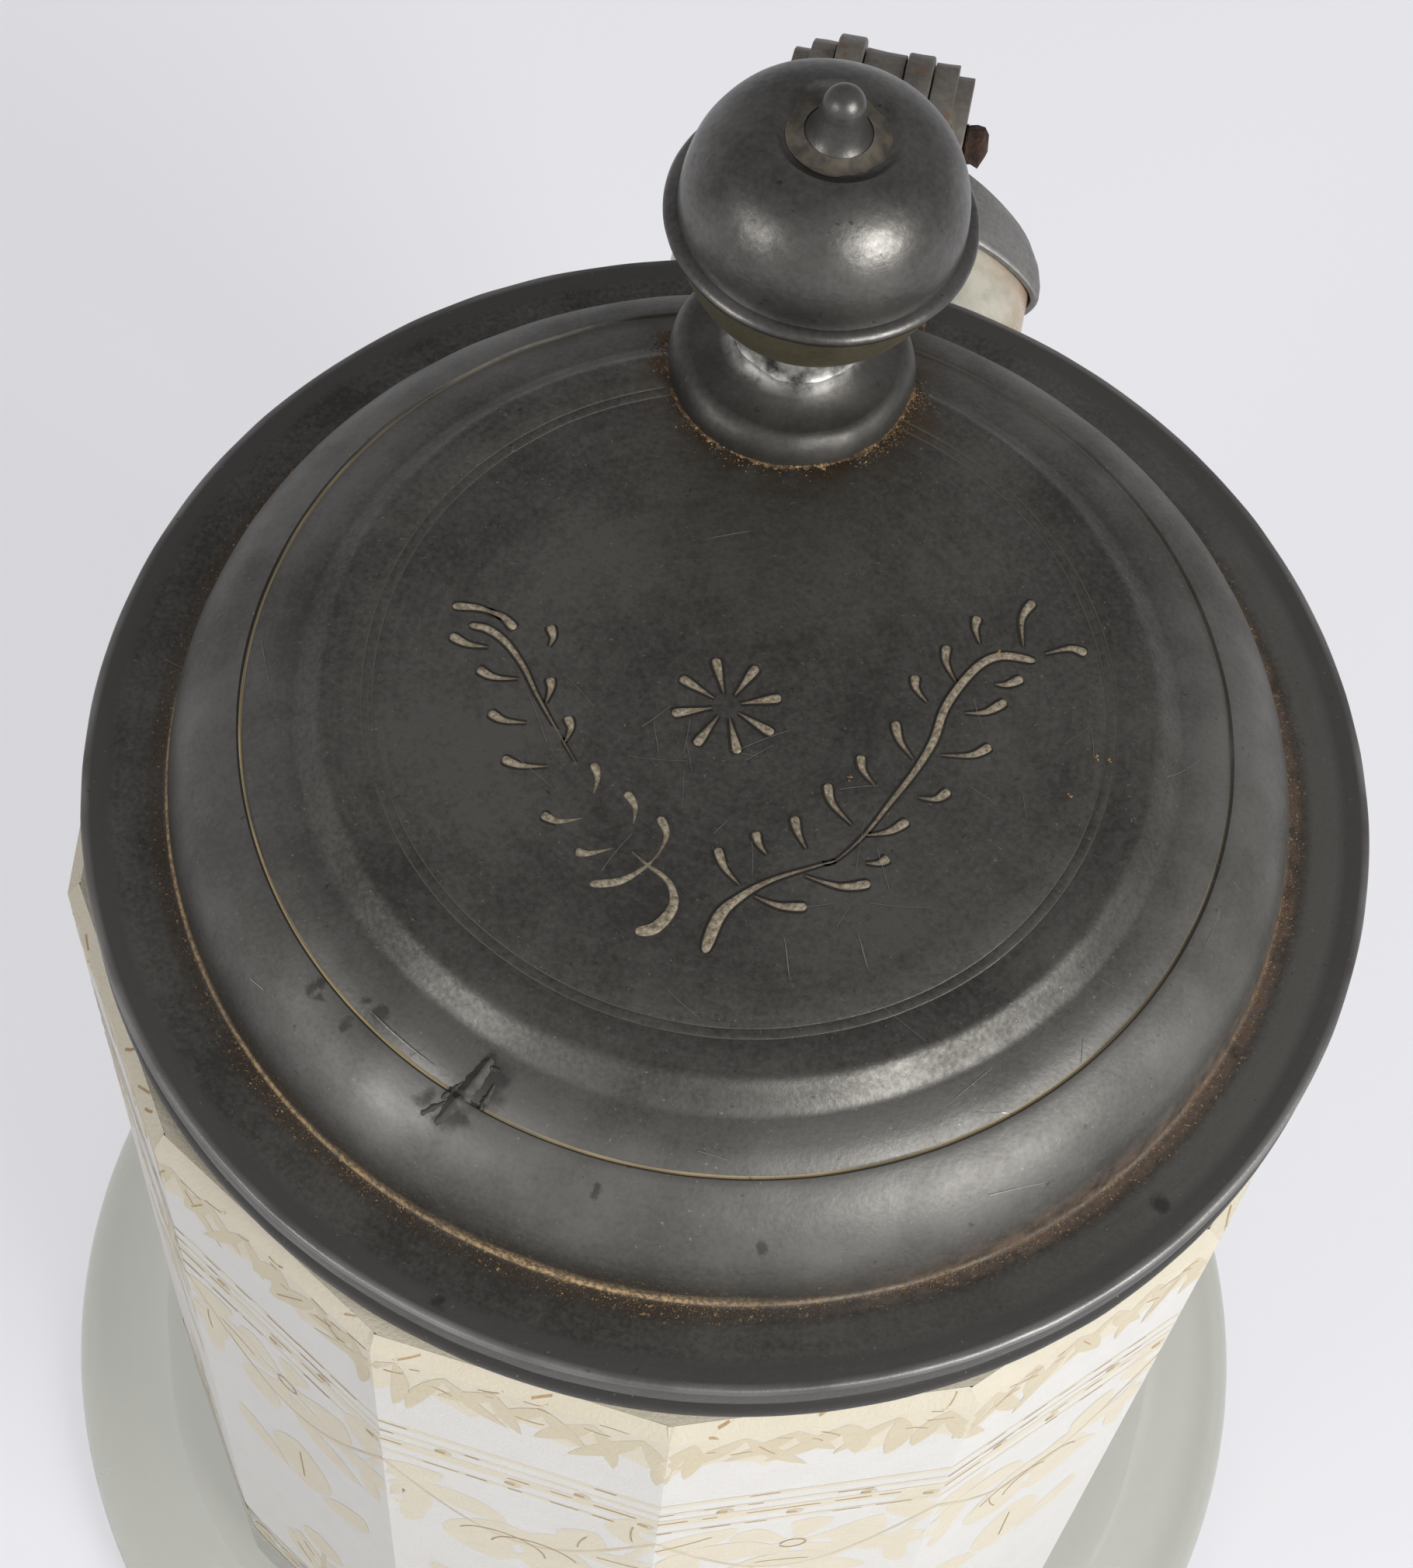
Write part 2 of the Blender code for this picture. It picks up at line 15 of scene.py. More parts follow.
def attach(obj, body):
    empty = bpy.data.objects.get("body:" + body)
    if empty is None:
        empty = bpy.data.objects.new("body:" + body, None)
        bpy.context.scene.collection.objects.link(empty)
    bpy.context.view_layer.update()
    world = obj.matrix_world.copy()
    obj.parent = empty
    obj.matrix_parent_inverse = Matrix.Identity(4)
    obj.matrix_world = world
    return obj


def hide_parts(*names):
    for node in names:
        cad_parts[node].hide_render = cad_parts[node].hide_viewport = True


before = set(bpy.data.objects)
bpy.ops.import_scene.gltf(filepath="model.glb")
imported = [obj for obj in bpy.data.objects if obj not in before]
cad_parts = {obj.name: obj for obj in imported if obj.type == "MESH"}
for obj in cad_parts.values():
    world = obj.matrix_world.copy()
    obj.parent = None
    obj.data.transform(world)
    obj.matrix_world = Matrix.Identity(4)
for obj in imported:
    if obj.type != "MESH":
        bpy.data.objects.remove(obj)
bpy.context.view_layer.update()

# Glass vessel: blown thick, then ground to fourteen flats that run out in the sweep of its foot.
# Old potash glass, so it is a little grey-green where it is thick, and clouded by wear.
# The edges between the flats are polished soft, and the flats lean a little to the left.

MM = 0.001
FACETS = 14
FIRST_EDGE = math.radians(97.3)
LEAN = -0.00524
WALL_EDGE_RADIUS = 56.9
BLANK_RADIUS = 57.2
CAVITY_RADIUS = 50.67
VESSEL_HEIGHT = 133.6
LIP_CHAMFER = 1.2
LIP_BEAD = 0.6
FLOOR_Z = 12.0
FLOOR_FILLET = 8
FOOT_EDGE = (68.4, 3.0)
SWEEP = (68.4, 17.0)
SWEEP_RADII = (11.2, 11.0)
FLARE_TOP = 11.0
FLARE_SLOPE = 4.2
STEP = 2 * math.pi / FACETS
APOTHEM = WALL_EDGE_RADIUS * math.cos(STEP / 2)
FACET_WIDTH = 2 * APOTHEM * math.tan(STEP / 2)
BEVEL_Z = VESSEL_HEIGHT - LIP_CHAMFER


def linear(code):
    """An sRGB hex colour as a linear RGBA value."""
    parts = [int(code[i : i + 2], 16) / 255 for i in (1, 3, 5)]
    return (*[c / 12.92 if c <= 0.04045 else ((c + 0.055) / 1.055) ** 2.4 for c in parts], 1.0)


def feed(tree, node, sockets):
    """Sets a node's inputs, named or numbered, to values or hex colours, or links them to other outputs."""
    for key, value in sockets.items():
        if isinstance(value, bpy.types.NodeSocket):
            tree.links.new(value, node.inputs[key])
        else:
            node.inputs[key].default_value = linear(value) if isinstance(value, str) else value


def add(tree, kind, sockets, out=0, **settings):
    """An output of a new node with its settings and inputs; a list of inputs fills them in order."""
    made = tree.nodes.new("ShaderNode" + kind)
    for key, value in settings.items():
        setattr(made, key, value)
    feed(tree, made, sockets if isinstance(sockets, dict) else dict(enumerate(sockets)))
    return made.outputs[out]


def layered(tree, colour, *layers):
    """A colour with others laid over it in turn, each with the masks that it shows through."""
    for share, *masks, tone in layers:
        for mask in masks:
            share = add(tree, "Math", [share, mask], operation="MULTIPLY")
        # This node has its two colours at inputs 6 and 7, and the mixed one at output 2
        colour = add(tree, "Mix", {0: share, 6: colour, 7: tone}, 2, data_type="RGBA")
    return colour


def surface(name, constants, *patterns):
    """A new material with its tree, its shader, the piece's own coordinates, and noise patterns in them.

    Each pattern has the size of its patches in millimetres, a detail and a roughness.
    """
    material = bpy.data.materials.new(name)
    material.use_nodes = True
    tree = material.node_tree
    shader = tree.nodes["Principled BSDF"]
    feed(tree, shader, constants)
    coord = add(tree, "TexCoord", [], "Object")
    made = [material, tree, shader, coord]
    for size, detail, rough in patterns:
        sockets = {"Vector": coord, "Scale": 1 / (size * MM), "Detail": detail, "Roughness": rough}
        made.append(add(tree, "TexNoise", sockets))
    return made


def solid(mesh_name, points, faces):
    """A mesh from points in millimetres, with its normals outwards."""
    mesh = bpy.data.meshes.new(mesh_name)
    mesh.from_pydata([tuple(c * MM for c in p) for p in points], [], faces)
    shape = bmesh.new()
    shape.from_mesh(mesh)
    bmesh.ops.remove_doubles(shape, verts=shape.verts, dist=1e-7)
    bmesh.ops.recalc_face_normals(shape, faces=shape.faces)
    shape.to_mesh(mesh)
    shape.free()
    return mesh


def piece(name, points, faces, material, body, slot, node=None, crease=35):
    """A mesh piece riding on a body, in place of a CAD node if one is named."""
    mesh = solid(name, points, faces)
    mesh.shade_smooth()
    mesh.set_sharp_from_angle(angle=math.radians(crease))
    thing = bpy.data.objects.new(name, mesh)
    bpy.context.scene.collection.objects.link(thing)
    mesh.materials.append(material)
    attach(thing, body)
    if node:
        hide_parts(node)
    return thing


def rings(columns):
    """Points and faces of a closed skin through rings of equal length, whose ends may be single points."""
    points, faces, starts = [], [], []
    for ring in columns:
        starts.append((len(points), len(ring)))
        points += ring
    for (a, size_a), (b, size_b) in zip(starts, starts[1:]):
        for i in range(max(size_a, size_b)):
            j = (i + 1) % max(size_a, size_b)
            if size_a == 1:
                faces.append((a, b + j, b + i))
            elif size_b == 1:
                faces.append((a + i, a + j, b))
            else:
                faces.append((a + i, a + j, b + j, b + i))
    return points, faces


def arc(centre, radii, start, end, count):
    """Points on an ellipse in a (radius, height) profile, with angles in degrees."""
    steps = np.radians(np.linspace(start, end, count))
    return [(centre[0] + radii[0] * math.cos(a), centre[1] + radii[1] * math.sin(a)) for a in steps]


def soft_min(values, reach):
    """The least of some lengths, rounded over where two of them meet."""
    least = min(values)
    return least - reach * math.log(sum(math.exp((least - v) / reach) for v in values))


def facet_radius(angle, edge_radius, height):
    """How far the ground flats lie from the axis, with softened edges."""
    place = (angle - FIRST_EDGE) / STEP
    near = [FIRST_EDGE + (math.floor(place) + 0.5 + k) * STEP for k in (-1, 0, 1)]
    flat = edge_radius * math.cos(STEP / 2)
    shift = LEAN * height
    return soft_min([(flat + shift * math.cos(m)) / max(0.2, math.cos(angle - m)) for m in near], 0.22)


def ground_edge(height):
    """Radius to the flats' corners at a height: straight, chamfered at the lip, flared into the foot."""
    if height < FLARE_TOP:
        return WALL_EDGE_RADIUS + (FLARE_TOP - height) * FLARE_SLOPE
    return WALL_EDGE_RADIUS - max(0.0, height - BEVEL_Z)


blank = [
    (20, 0),
    (60, 0),
    *arc(FOOT_EDGE, (2.4, 3.0), -90, 70, 14),
    *arc(SWEEP, SWEEP_RADII, 268, 225, 16),
    *arc(SWEEP, SWEEP_RADII, 224, 180, 44)[1:],
    *[(BLANK_RADIUS, z) for z in np.linspace(18, 131.5, 40)],
    *[(BLANK_RADIUS, z) for z in np.linspace(132.2, VESSEL_HEIGHT, 6)],
]
spread = np.sin(np.linspace(-1, 1, 25)[:-1] * math.pi / 2)
turns = [FIRST_EDGE + (k + 0.5 + 0.5 * t) * STEP for k in range(FACETS) for t in spread]
skin = [[(0, 0, 0)]]
for radius, height in blank:
    ring = []
    for angle in turns:
        cut_to = facet_radius(angle, ground_edge(height), height)
        r = soft_min([radius, cut_to], 0.1) if radius > 50 and height > 2 else radius
        ring.append((r * math.cos(angle), r * math.sin(angle), height))
    skin.append(ring)
hollow = [
    (CAVITY_RADIUS + LIP_BEAD, VESSEL_HEIGHT),
    *arc((CAVITY_RADIUS + LIP_BEAD, VESSEL_HEIGHT - LIP_BEAD), (LIP_BEAD, LIP_BEAD), 120, 180, 4),
    *[(CAVITY_RADIUS, z) for z in np.linspace(126, 21, 16)],
    *arc((CAVITY_RADIUS - FLOOR_FILLET, FLOOR_Z + FLOOR_FILLET), (FLOOR_FILLET, FLOOR_FILLET), 0, -90, 12),
    (22, FLOOR_Z),
]
for radius, height in hollow:
    skin.append([(radius * math.cos(a), radius * math.sin(a), height) for a in turns])
skin.append([(0, 0, FLOOR_Z)])

# Old clear glass, ground and polished: sharp highlights, a faint wave, milky wear, greyer where it is thick
clear = {"IOR": 1.5, "Transmission Weight": 0.8}
patterns = (6.25, 6, 0.65), (14.29, 3, 0.6)
old_glass, tree, shader, coord, wear, wave = surface("old_clear_glass", clear, *patterns)
height = add(tree, "SeparateXYZ", [coord], "Z")
tint = layered(
    tree,
    "#f4f2ec",
    (wear, "#e8e5da"),
    (add(tree, "MapRange", [height, 26 * MM, 8 * MM]), "#e2e2d8"),
    (add(tree, "MapRange", [height, 132.7 * MM, 133.4 * MM]), "#d9d5b8"),
)
feed(tree, shader, {
    "Base Color": tint,
    "Roughness": add(tree, "MapRange", [wear, 0.3, 0.75, 0.08, 0.3]),
    "Normal": add(tree, "Bump", {"Strength": 0.12, "Distance": 2 * MM, "Height": wave}),
})

piece("cut_glass_vessel", *rings(skin), old_glass, "vessel", "clear_glass", "glass_body", crease=28)

# Engraving on the flats: leaf fringe, lines with dots, hanging garlands, rosettes and tulip sprays.
# The ground is matted white, and the figures are cut with a copper wheel and have taken up a beige stain.
# Each is a thin sheet on the glass, laid out along the flats in millimetres.

FROST_LIFT = 0.002
GROUND_LIFT = 0.014
CUT_LIFT = 0.027
STAIN_LIFT = 0.04
LIFT_STEP = 0.0003
RIM_LIFT = 0.012
MATT_LOW_Z = 30.0
FRINGE_Z = 123.5
GARLAND_Z = 103.5
GARLAND_SAG = 13
LOZENGE_Z = 66.0
SPRAY_Z = 29.5
BORDER_Z = 24.0


def on_flat(along, height, lift):
    """A point on the ground wall, from its distance along the flats and its height."""
    number = math.floor(along / FACET_WIDTH)
    across = along - (number + 0.5) * FACET_WIDTH
    middle = FIRST_EDGE + (number + 0.5) * STEP
    out = APOTHEM + lift
    return (
        out * math.cos(middle) - across * math.sin(middle) + LEAN * height,
        out * math.sin(middle) + across * math.cos(middle),
        height,
    )


def on_rim(along, middle, inward):
    """A point on top of the rim, a negative distance in from a flat, mitred at the flat's corners."""
    x, y, z = on_flat(middle + (along - middle) * (1 + inward / APOTHEM), VESSEL_HEIGHT, inward)
    return (x, y, z + RIM_LIFT)


def across_flat(left, height, count=40):
    """A level path along one flat."""
    return np.stack([np.linspace(left, left + FACET_WIDTH, count), np.full(count, height)], 1)


def bend(start, angle, length, turn, count=12):
    """A path from a point, in a direction, that turns evenly along its length, with angles in degrees."""
    steps = np.linspace(0, 1, count)
    heading = np.radians(angle + turn * steps)
    stride = length / (count - 1)
    path = np.cumsum(np.stack([np.cos(heading), np.sin(heading)], 1) * stride, axis=0)
    return np.array(start) + path - path[0]


def leaf_width(width, count=12, fullness=0.75):
    """Half widths of a leaf that is pointed at both ends."""
    return 0.5 * width * np.sin(np.linspace(0.02, math.pi - 0.02, count)) ** fullness


def tear_width(width, count=12):
    """Half widths of a tear that starts thin and ends round."""
    steps = np.linspace(0, 1, count)
    return 0.5 * width * (0.08 + 0.92 * steps**1.3) * np.sqrt(np.clip(1.02 - steps**7, 0, 1))


def ribbon(path, halves, rows, place):
    """Points and faces of a strip along a path, with rows of (share of the half width, lift)."""
    path = np.array(path, float)
    run = np.gradient(path, axis=0)
    run /= np.linalg.norm(run, axis=1)[:, None] + 1e-9
    side = np.stack([-run[:, 1], run[:, 0]], 1)
    points, faces = [], []
    for spot, way, half in zip(path, side, halves):
        for share, lift in rows:
            points.append(place(*(spot + way * half * share), lift * half))
    wide = len(rows)
    for i in range(len(path) - 1):
        for j in range(wide - 1):
            a = i * wide + j
            faces.append((a, a + 1, a + wide + 1, a + wide))
    return points, faces


def gather(strips):
    """Several strips as one set of points and faces."""
    points, faces = [], []
    for some, joined in strips:
        shift = len(points)
        points += some
        faces += [tuple(i + shift for i in face) for face in joined]
    return points, faces


frost, pale, matt, line = [], [], [], []


def sheet(strips, first, path, halves, rows=3, top=1.0):
    """A strip on the wall, each a hair above the one before it so that none lie in one plane."""
    lift = first + LIFT_STEP * (len(strips) % 40)

    def on_wall(along, height, _):
        # The bevel at the lip leans in
        return on_flat(along, min(height, VESSEL_HEIGHT), lift - 0.97 * max(0.0, height - BEVEL_Z))

    strips.append(ribbon(path, halves, [(s, 0) for s in np.linspace(-1, top, rows)], on_wall))


def ground(path, halves):
    sheet(pale, GROUND_LIFT, path, halves)


def cut(path, halves):
    sheet(matt, CUT_LIFT, path, halves)


def stain(path, width):
    sheet(line, STAIN_LIFT, path, np.full(len(path), width / 2), 2)


hand = random.Random(7)
for facet in range(FACETS):
    left = facet * FACET_WIDTH
    middle = left + FACET_WIDTH / 2
    # Matted ground, with scallops along its lower edge, and a stained bevel at the lip
    half_height = (BEVEL_Z - MATT_LOW_Z) / 2
    sheet(frost, FROST_LIFT, across_flat(left, MATT_LOW_Z + half_height), np.full(40, half_height), 9)
    scallops = 0.1 + 4 * np.abs(np.sin(np.linspace(0, 2 * math.pi, 40)))
    sheet(frost, FROST_LIFT, across_flat(left, MATT_LOW_Z), scallops, 3, 0.0)
    ground(across_flat(left, VESSEL_HEIGHT - LIP_CHAMFER / 2), np.full(40, LIP_CHAMFER / 2))
    # The stain goes on over the top of the rim, under the lid
    rim_path, rim_rows = across_flat(left, -1.16), [(-1, 0), (0, 0)]
    rim = ribbon(rim_path, np.full(40, 3.0), rim_rows, lambda s, inward, _: on_rim(s, middle, inward))
    pale.append(rim)
    # Leaf fringe under the lid: a stained ground with a scalloped edge, and feathery leaves on it
    steps = np.linspace(0, 1, 40)
    lower = FRINGE_Z + 2.6 * np.abs(np.sin(3 * math.pi * steps))
    lower += np.array([hand.uniform(-0.4, 0.4) for _ in steps])
    sheet(pale, GROUND_LIFT, across_flat(left, BEVEL_Z), BEVEL_Z - lower, 3, 0.0)
    for number in range(6):
        root = (left + (number + 0.5) / 6 * FACET_WIDTH, 131.6)
        for way in (-30, 14):
            heading = -90 + way + hand.uniform(-9, 9)
            path = bend(root, heading, 8.5 + hand.uniform(-1.5, 4), hand.uniform(-35, 35))
            cut(path, leaf_width(2.0 + hand.uniform(-0.5, 0.5)))
            if hand.random() < 0.35:
                stain(path[3 : 6 + hand.randrange(5)], 0.14)
    # Brown flecks left by the stain along the lip
    for _ in range(12):
        spot = (left + hand.uniform(0.04, 0.9) * FACET_WIDTH, hand.uniform(127.5, 133.3))
        path = bend(spot, hand.uniform(-28, 28), hand.uniform(0.7, 2.6), hand.uniform(-60, 60), 6)
        stain(path, hand.uniform(0.1, 0.26))
    # Bands of fine lines with dots between them, level round the vessel
    for band_z, width in ((114.6, 0.9), (112.2, 0.7), (109.6, 1.9), (106.6, 0.7)):
        path = across_flat(left, band_z)
        ground(path, np.full(40, width / 2))
        for first in range(0, 36, 6):
            if hand.random() < 0.6:
                wobble = np.array([0, hand.uniform(-0.12, 0.12)])
                stain(path[first : first + 3 + hand.randrange(5)] + wobble, hand.uniform(0.12, 0.24))
    for dot, dot_z in ((0.2, 111.0), (0.45, 108.1), (0.7, 111.0), (0.93, 108.1)):
        spot = (left + dot * FACET_WIDTH, dot_z)
        cut(bend(spot, 0, 1.5, 0, 9), leaf_width(1.5, 9, 0.5))
        stain(bend(spot, 0, 0.9, 0, 5), 0.5)
    # Garland: a line of paired leaves that hangs from edge to edge of the flat
    steps = np.linspace(0, 1, 30)
    swag = np.stack([left + steps * FACET_WIDTH, GARLAND_Z - GARLAND_SAG * np.sin(math.pi * steps)], 1)
    cut(swag, np.full(30, 0.22))
    for number in range(3, 28, 6):
        ahead = math.degrees(math.atan2(*(swag[number + 1] - swag[number - 1])[::-1]))
        for side in (-1, 1):
            path = bend(swag[number], ahead + side * 50, 9.0 + hand.uniform(-1.2, 1.2), -side * 34)
            ground(path, leaf_width(4.8))
            if hand.random() < 0.4:
                stain(path[2:9], 0.14)
    # Knot and drop at each upper corner of the garland
    for side in (-1, 1):
        ground(bend((left, 103.0), -90 + side * 28, 17, -side * 40), tear_width(3.4))
    # Rosette in the garland's bow on one flat, scrolls on the next
    if facet % 2:
        for petal in range(6):
            ground(bend((middle, 98.0), petal * 60 + 10, 7.4, 14), tear_width(5.6))
        stain(bend((middle - 1.1, 98.0), 90, 7.0, -340, 18), 0.2)
    else:
        for side in (-1, 1):
            path = bend((middle + side * 0.6, 84.0), 90 - side * 62, 25, side * 330, 40)
            ground(path, np.linspace(2.3, 0.9, 40))
            stain(path[6 + hand.randrange(6) : 26], 0.18)
    # Lozenge between two leaves, under the garland
    ground(bend((middle, LOZENGE_Z), 90, 14, 0), leaf_width(8.0, 12, 0.6))
    stain(bend((middle, LOZENGE_Z + 3), 90, 8, 0), 0.16)
    for side in (-1, 1):
        root = (middle + side * 2.5, LOZENGE_Z + 0.5)
        ground(bend(root, 90 - side * 62, 10, side * 45), leaf_width(4.4))
    # Tulip spray rising from the foot
    stalk = bend((middle, SPRAY_Z), 90, 13, hand.uniform(-8, 8), 24)
    cut(stalk, np.linspace(0.5, 0.3, 24))
    for side in (-1, 1):
        for number, length in ((2, 10), (11, 7)):
            path = bend(stalk[number], 90 + side * 52, length, -side * 45, 16)
            ground(path, leaf_width(3.6, 16))
            stain(path[4:11], 0.15)
        ground(bend(stalk[-1], 90 + side * 42, 6.5, -side * 62), leaf_width(3.2))
    ground(bend(stalk[-1], 90, 7, 0), leaf_width(3.4))
    # Lower border of leaves between two lines
    for border_line in (BORDER_Z + 3.5, BORDER_Z - 3.5):
        cut(across_flat(left, border_line, 14), np.full(14, 0.25))
    for number in range(6):
        root = (left + (number + 0.2) * FACET_WIDTH / 6, BORDER_Z)
        for side in (-1, 1):
            cut(bend(root, side * 38, 4.4, -side * 20, 8), leaf_width(1.7, 8))


def cut_glass(name, light, dark, alpha=1.0):
    """Matted or wheel-cut glass: pale, and mottled where its stain has worn away."""
    dull = {"IOR": 1.5, "Roughness": 0.6, "Alpha": alpha}
    # Worn patches of 4 mm; the wheel's grit is under 0.1 mm, and is drawn as 0.4 mm so that it shows
    material, tree, shader, _, fade, grit = surface(name, dull, (4.167, 6, 0.7), (0.3846, 2, 0.6))
    feed(tree, shader, {
        "Base Color": layered(tree, light, (fade, dark)),
        "Normal": add(tree, "Bump", {"Strength": 0.25, "Distance": 0.3 * MM, "Height": grit}),
    })
    return material


for name, strips, material in (
    ("matted_ground", frost, cut_glass("white_matted_glass", "#d2d0cc", "#c7c4be", 0.84)),
    ("stained_figures", pale, cut_glass("beige_stained_glass", "#c4bdac", "#b7ae98")),
    ("engraved_ornament", matt, cut_glass("wheel_cut_glass", "#bcb39e", "#ada083")),
):
    piece(name, *gather(strips), material, "vessel", "clear_glass")

# Brown stain left in the deepest lines of the cutting, broken by wear in spots of 1.1 mm
deep_stain, tree, shader, _, fade = surface("brown_stain", {"Roughness": 0.8}, (1.111, 4, 0.6))
feed(tree, shader, {"Base Color": layered(tree, "#b59f7a", (fade, "#80623f"))})
piece("stained_lines", *gather(line), deep_stain, "vessel", "clear_glass")

# Glass handle: one broad gather of hot glass, pressed on the wall under the lid and drawn down to it again.
# Fire polished, of a greener and thicker glass than the wall.

ROOT_Y = CAVITY_RADIUS + 2.4
ROOT_Z = 123.4
CREST = (69.1, 125.4)
BACK = (92.5, 98.49)
TAIL_Z = 41.4
QUARTER = 0.5523
CREST_STEPS = 60
HANDLE_HALF_WIDTH = 18
HANDLE_HALF_THICKNESS = 10
OVAL_POWER = 1.22
SHOULDER_FALL = 22.0
TAPER = 0.46


def bezier(points, count):
    """Points along a cubic curve from four control points."""
    a, b, c, d = [np.array(p, float) for p in points]
    t = np.linspace(0, 1, count)[:, None]
    return a * (1 - t) ** 3 + 3 * b * t * (1 - t) ** 2 + 3 * c * t * t * (1 - t) + d * t**3


run_in = (CREST[0] - ROOT_Y) * QUARTER
run_over = (BACK[0] - CREST[0]) * QUARTER
run_down = (CREST[1] - BACK[1]) * QUARTER
run_under = (BACK[1] - TAIL_Z) * QUARTER
run_back = (BACK[0] - ROOT_Y) * QUARTER
spine = np.concatenate([
    bezier([(ROOT_Y, ROOT_Z), (ROOT_Y + run_in, ROOT_Z), (CREST[0] - run_in, CREST[1]), CREST], CREST_STEPS),
    bezier([CREST, (CREST[0] + run_over, CREST[1]), (BACK[0], BACK[1] + run_down), BACK], 80)[1:],
    bezier([BACK, (BACK[0], BACK[1] - run_under), (ROOT_Y + run_back, TAIL_Z), (ROOT_Y, TAIL_Z)], 120)[1:],
])
travel = np.concatenate([[0], np.cumsum(np.hypot(*np.diff(spine, axis=0).T))])
crest_at = travel[CREST_STEPS - 1]


def on_spine(at):
    """The point of the handle's spine at a distance along it."""
    return np.array([np.interp(at, travel, spine[:, k]) for k in (0, 1)])


def handle_point(at, margin, a):
    """A point of the handle's lean oval section, at a distance along its spine, moved out by a margin."""
    y, z = on_spine(at)
    ahead = on_spine(at + 0.5) - on_spine(at - 0.5)
    ahead /= np.linalg.norm(ahead)
    fall = min(1, max(0, (at - crest_at - 1.0) / SHOULDER_FALL))
    share = 1 - TAPER * fall * fall * (3 - 2 * fall)
    wide, thick = [math.copysign(abs(f) ** OVAL_POWER, f) for f in (math.cos(a), math.sin(a))]
    up = (HANDLE_HALF_THICKNESS + margin) * share * thick
    return ((HANDLE_HALF_WIDTH + margin) * share * wide, y - ahead[1] * up, z + ahead[0] * up)


around = np.linspace(0, 2 * math.pi, 72, endpoint=False)
sections = [[handle_point(at, 0, a) for a in around] for at in np.linspace(0, travel[-1], 90)]
first, last = np.mean(sections[0], 0), np.mean(sections[-1], 0)

# Greenish potash glass, fire polished: soft round highlights, cream clouds and a rusty stain by the collar
green_glass, tree, shader, coord, veil, blots, rust_edge, wave = surface(
    "green_potash_glass",
    {"IOR": 1.5, "Transmission Weight": 0.45},
    (5.882, 7, 0.7),
    (3.846, 5, 0.6),
    (2.5, 4, 0.6),
    (16.67, 3, 0.6),
)
height = add(tree, "SeparateXYZ", [coord], "Z")
dirty = add(tree, "MapRange", [height, 95 * MM, 115 * MM, 0.15, 1.0])
clouds = add(tree, "MapRange", [veil, 0.36, 0.64])
blotch = add(tree, "MapRange", [blots, 0.52, 0.72, 0.0, 0.6])
from_stain = add(tree, "VectorMath", [coord, (0.0172, 0.077, 0.117)], "Value", operation="DISTANCE")
stained = add(tree, "MapRange", [from_stain, 18 * MM, 7 * MM])
broken = add(tree, "MapRange", [rust_edge, 0.22, 0.45])
tint = layered(
    tree,
    "#f6f1df",
    (clouds, dirty, "#ccccba"),
    (blotch, dirty, "#c0a47c"),
    (stained, broken, "#b0662f"),
)
feed(tree, shader, {
    "Base Color": tint,
    "Roughness": add(tree, "MapRange", [veil, 0.3, 0.7, 0.1, 0.35]),
    "Normal": add(tree, "Bump", {"Strength": 0.15, "Distance": 2 * MM, "Height": wave}),
})
handle_skin = rings([[tuple(first)], *sections, [tuple(last)]])
handle = piece("drawn_glass_handle", *handle_skin, green_glass, "vessel", "green_glass", "glass_handle")


def trim(thing, points, faces):
    """Cuts a solid of points in millimetres from a piece, and puts the result into the piece's own mesh."""
    tool = bpy.data.objects.new("trim_tool", solid("trim_tool", points, faces))
    bpy.context.scene.collection.objects.link(tool)
    cutting = thing.modifiers.new("trim", "BOOLEAN")
    cutting.operation = "DIFFERENCE"
    cutting.solver = "EXACT"
    cutting.object = tool
    bpy.context.view_layer.update()
    shown = thing.evaluated_get(bpy.context.evaluated_depsgraph_get())
    mesh = bpy.data.meshes.new_from_object(shown)
    mesh.name = thing.data.name + "_settled"
    thing.modifiers.clear()
    thing.data = mesh
    bpy.data.objects.remove(tool)


# The handle's root is cut to the wall's flats
ROOT_CUT_RADIUS = 56.95
wall_corners = [FIRST_EDGE + k * STEP for k in range(FACETS)]
wall_rings = []
for z in (160, 10):
    ends = [(ROOT_CUT_RADIUS * math.cos(a), ROOT_CUT_RADIUS * math.sin(a)) for a in wall_corners]
    wall_rings.append([(x + LEAN * z, y, z) for x, y in ends])
trim(handle, *rings([[(0, 0, 160)], *wall_rings, [(0, 0, 10)]]))

# Pewter collar: a thin band bent round the crest of the handle, which carries the hinge.
# Hands have rubbed it to a dull grey, so it is lighter than the lid.

COLLAR_LENGTH = 10
COLLAR_SIDE_CUT = 3.6
# Its section, as the share of its length and its distance out from the glass
collar_section = [
    (0, 0.35), (0, 0.85), (0.02, 1.04), (0.06, 1.1), (0.3, 1.12), (0.6, 1.12), (0.94, 1.1), (0.98, 1.04),
    (1, 0.85), (1, 0.35), (0.75, 0.35), (0.5, 0.35), (0.25, 0.35), (0, 0.35),
]
band = []
for share, out in collar_section:
    lengths = [COLLAR_LENGTH - COLLAR_SIDE_CUT * abs(math.cos(a)) for a in around]
    band.append([handle_point(crest_at + share * n, out, a) for n, a in zip(lengths, around)])
points, faces = rings(band)


# This noise starts from the clock unless it is given a seed
noise.seed_set(3)


def dent(points, amount, size, seed=0.0):
    """Points moved by a smooth noise of an amount and a size in millimetres, as hand work leaves them."""
    shift = Vector((seed, seed * 0.7, -seed))
    return [tuple(Vector(p) + amount * noise.noise_vector(Vector(p) / size + shift)) for p in points]


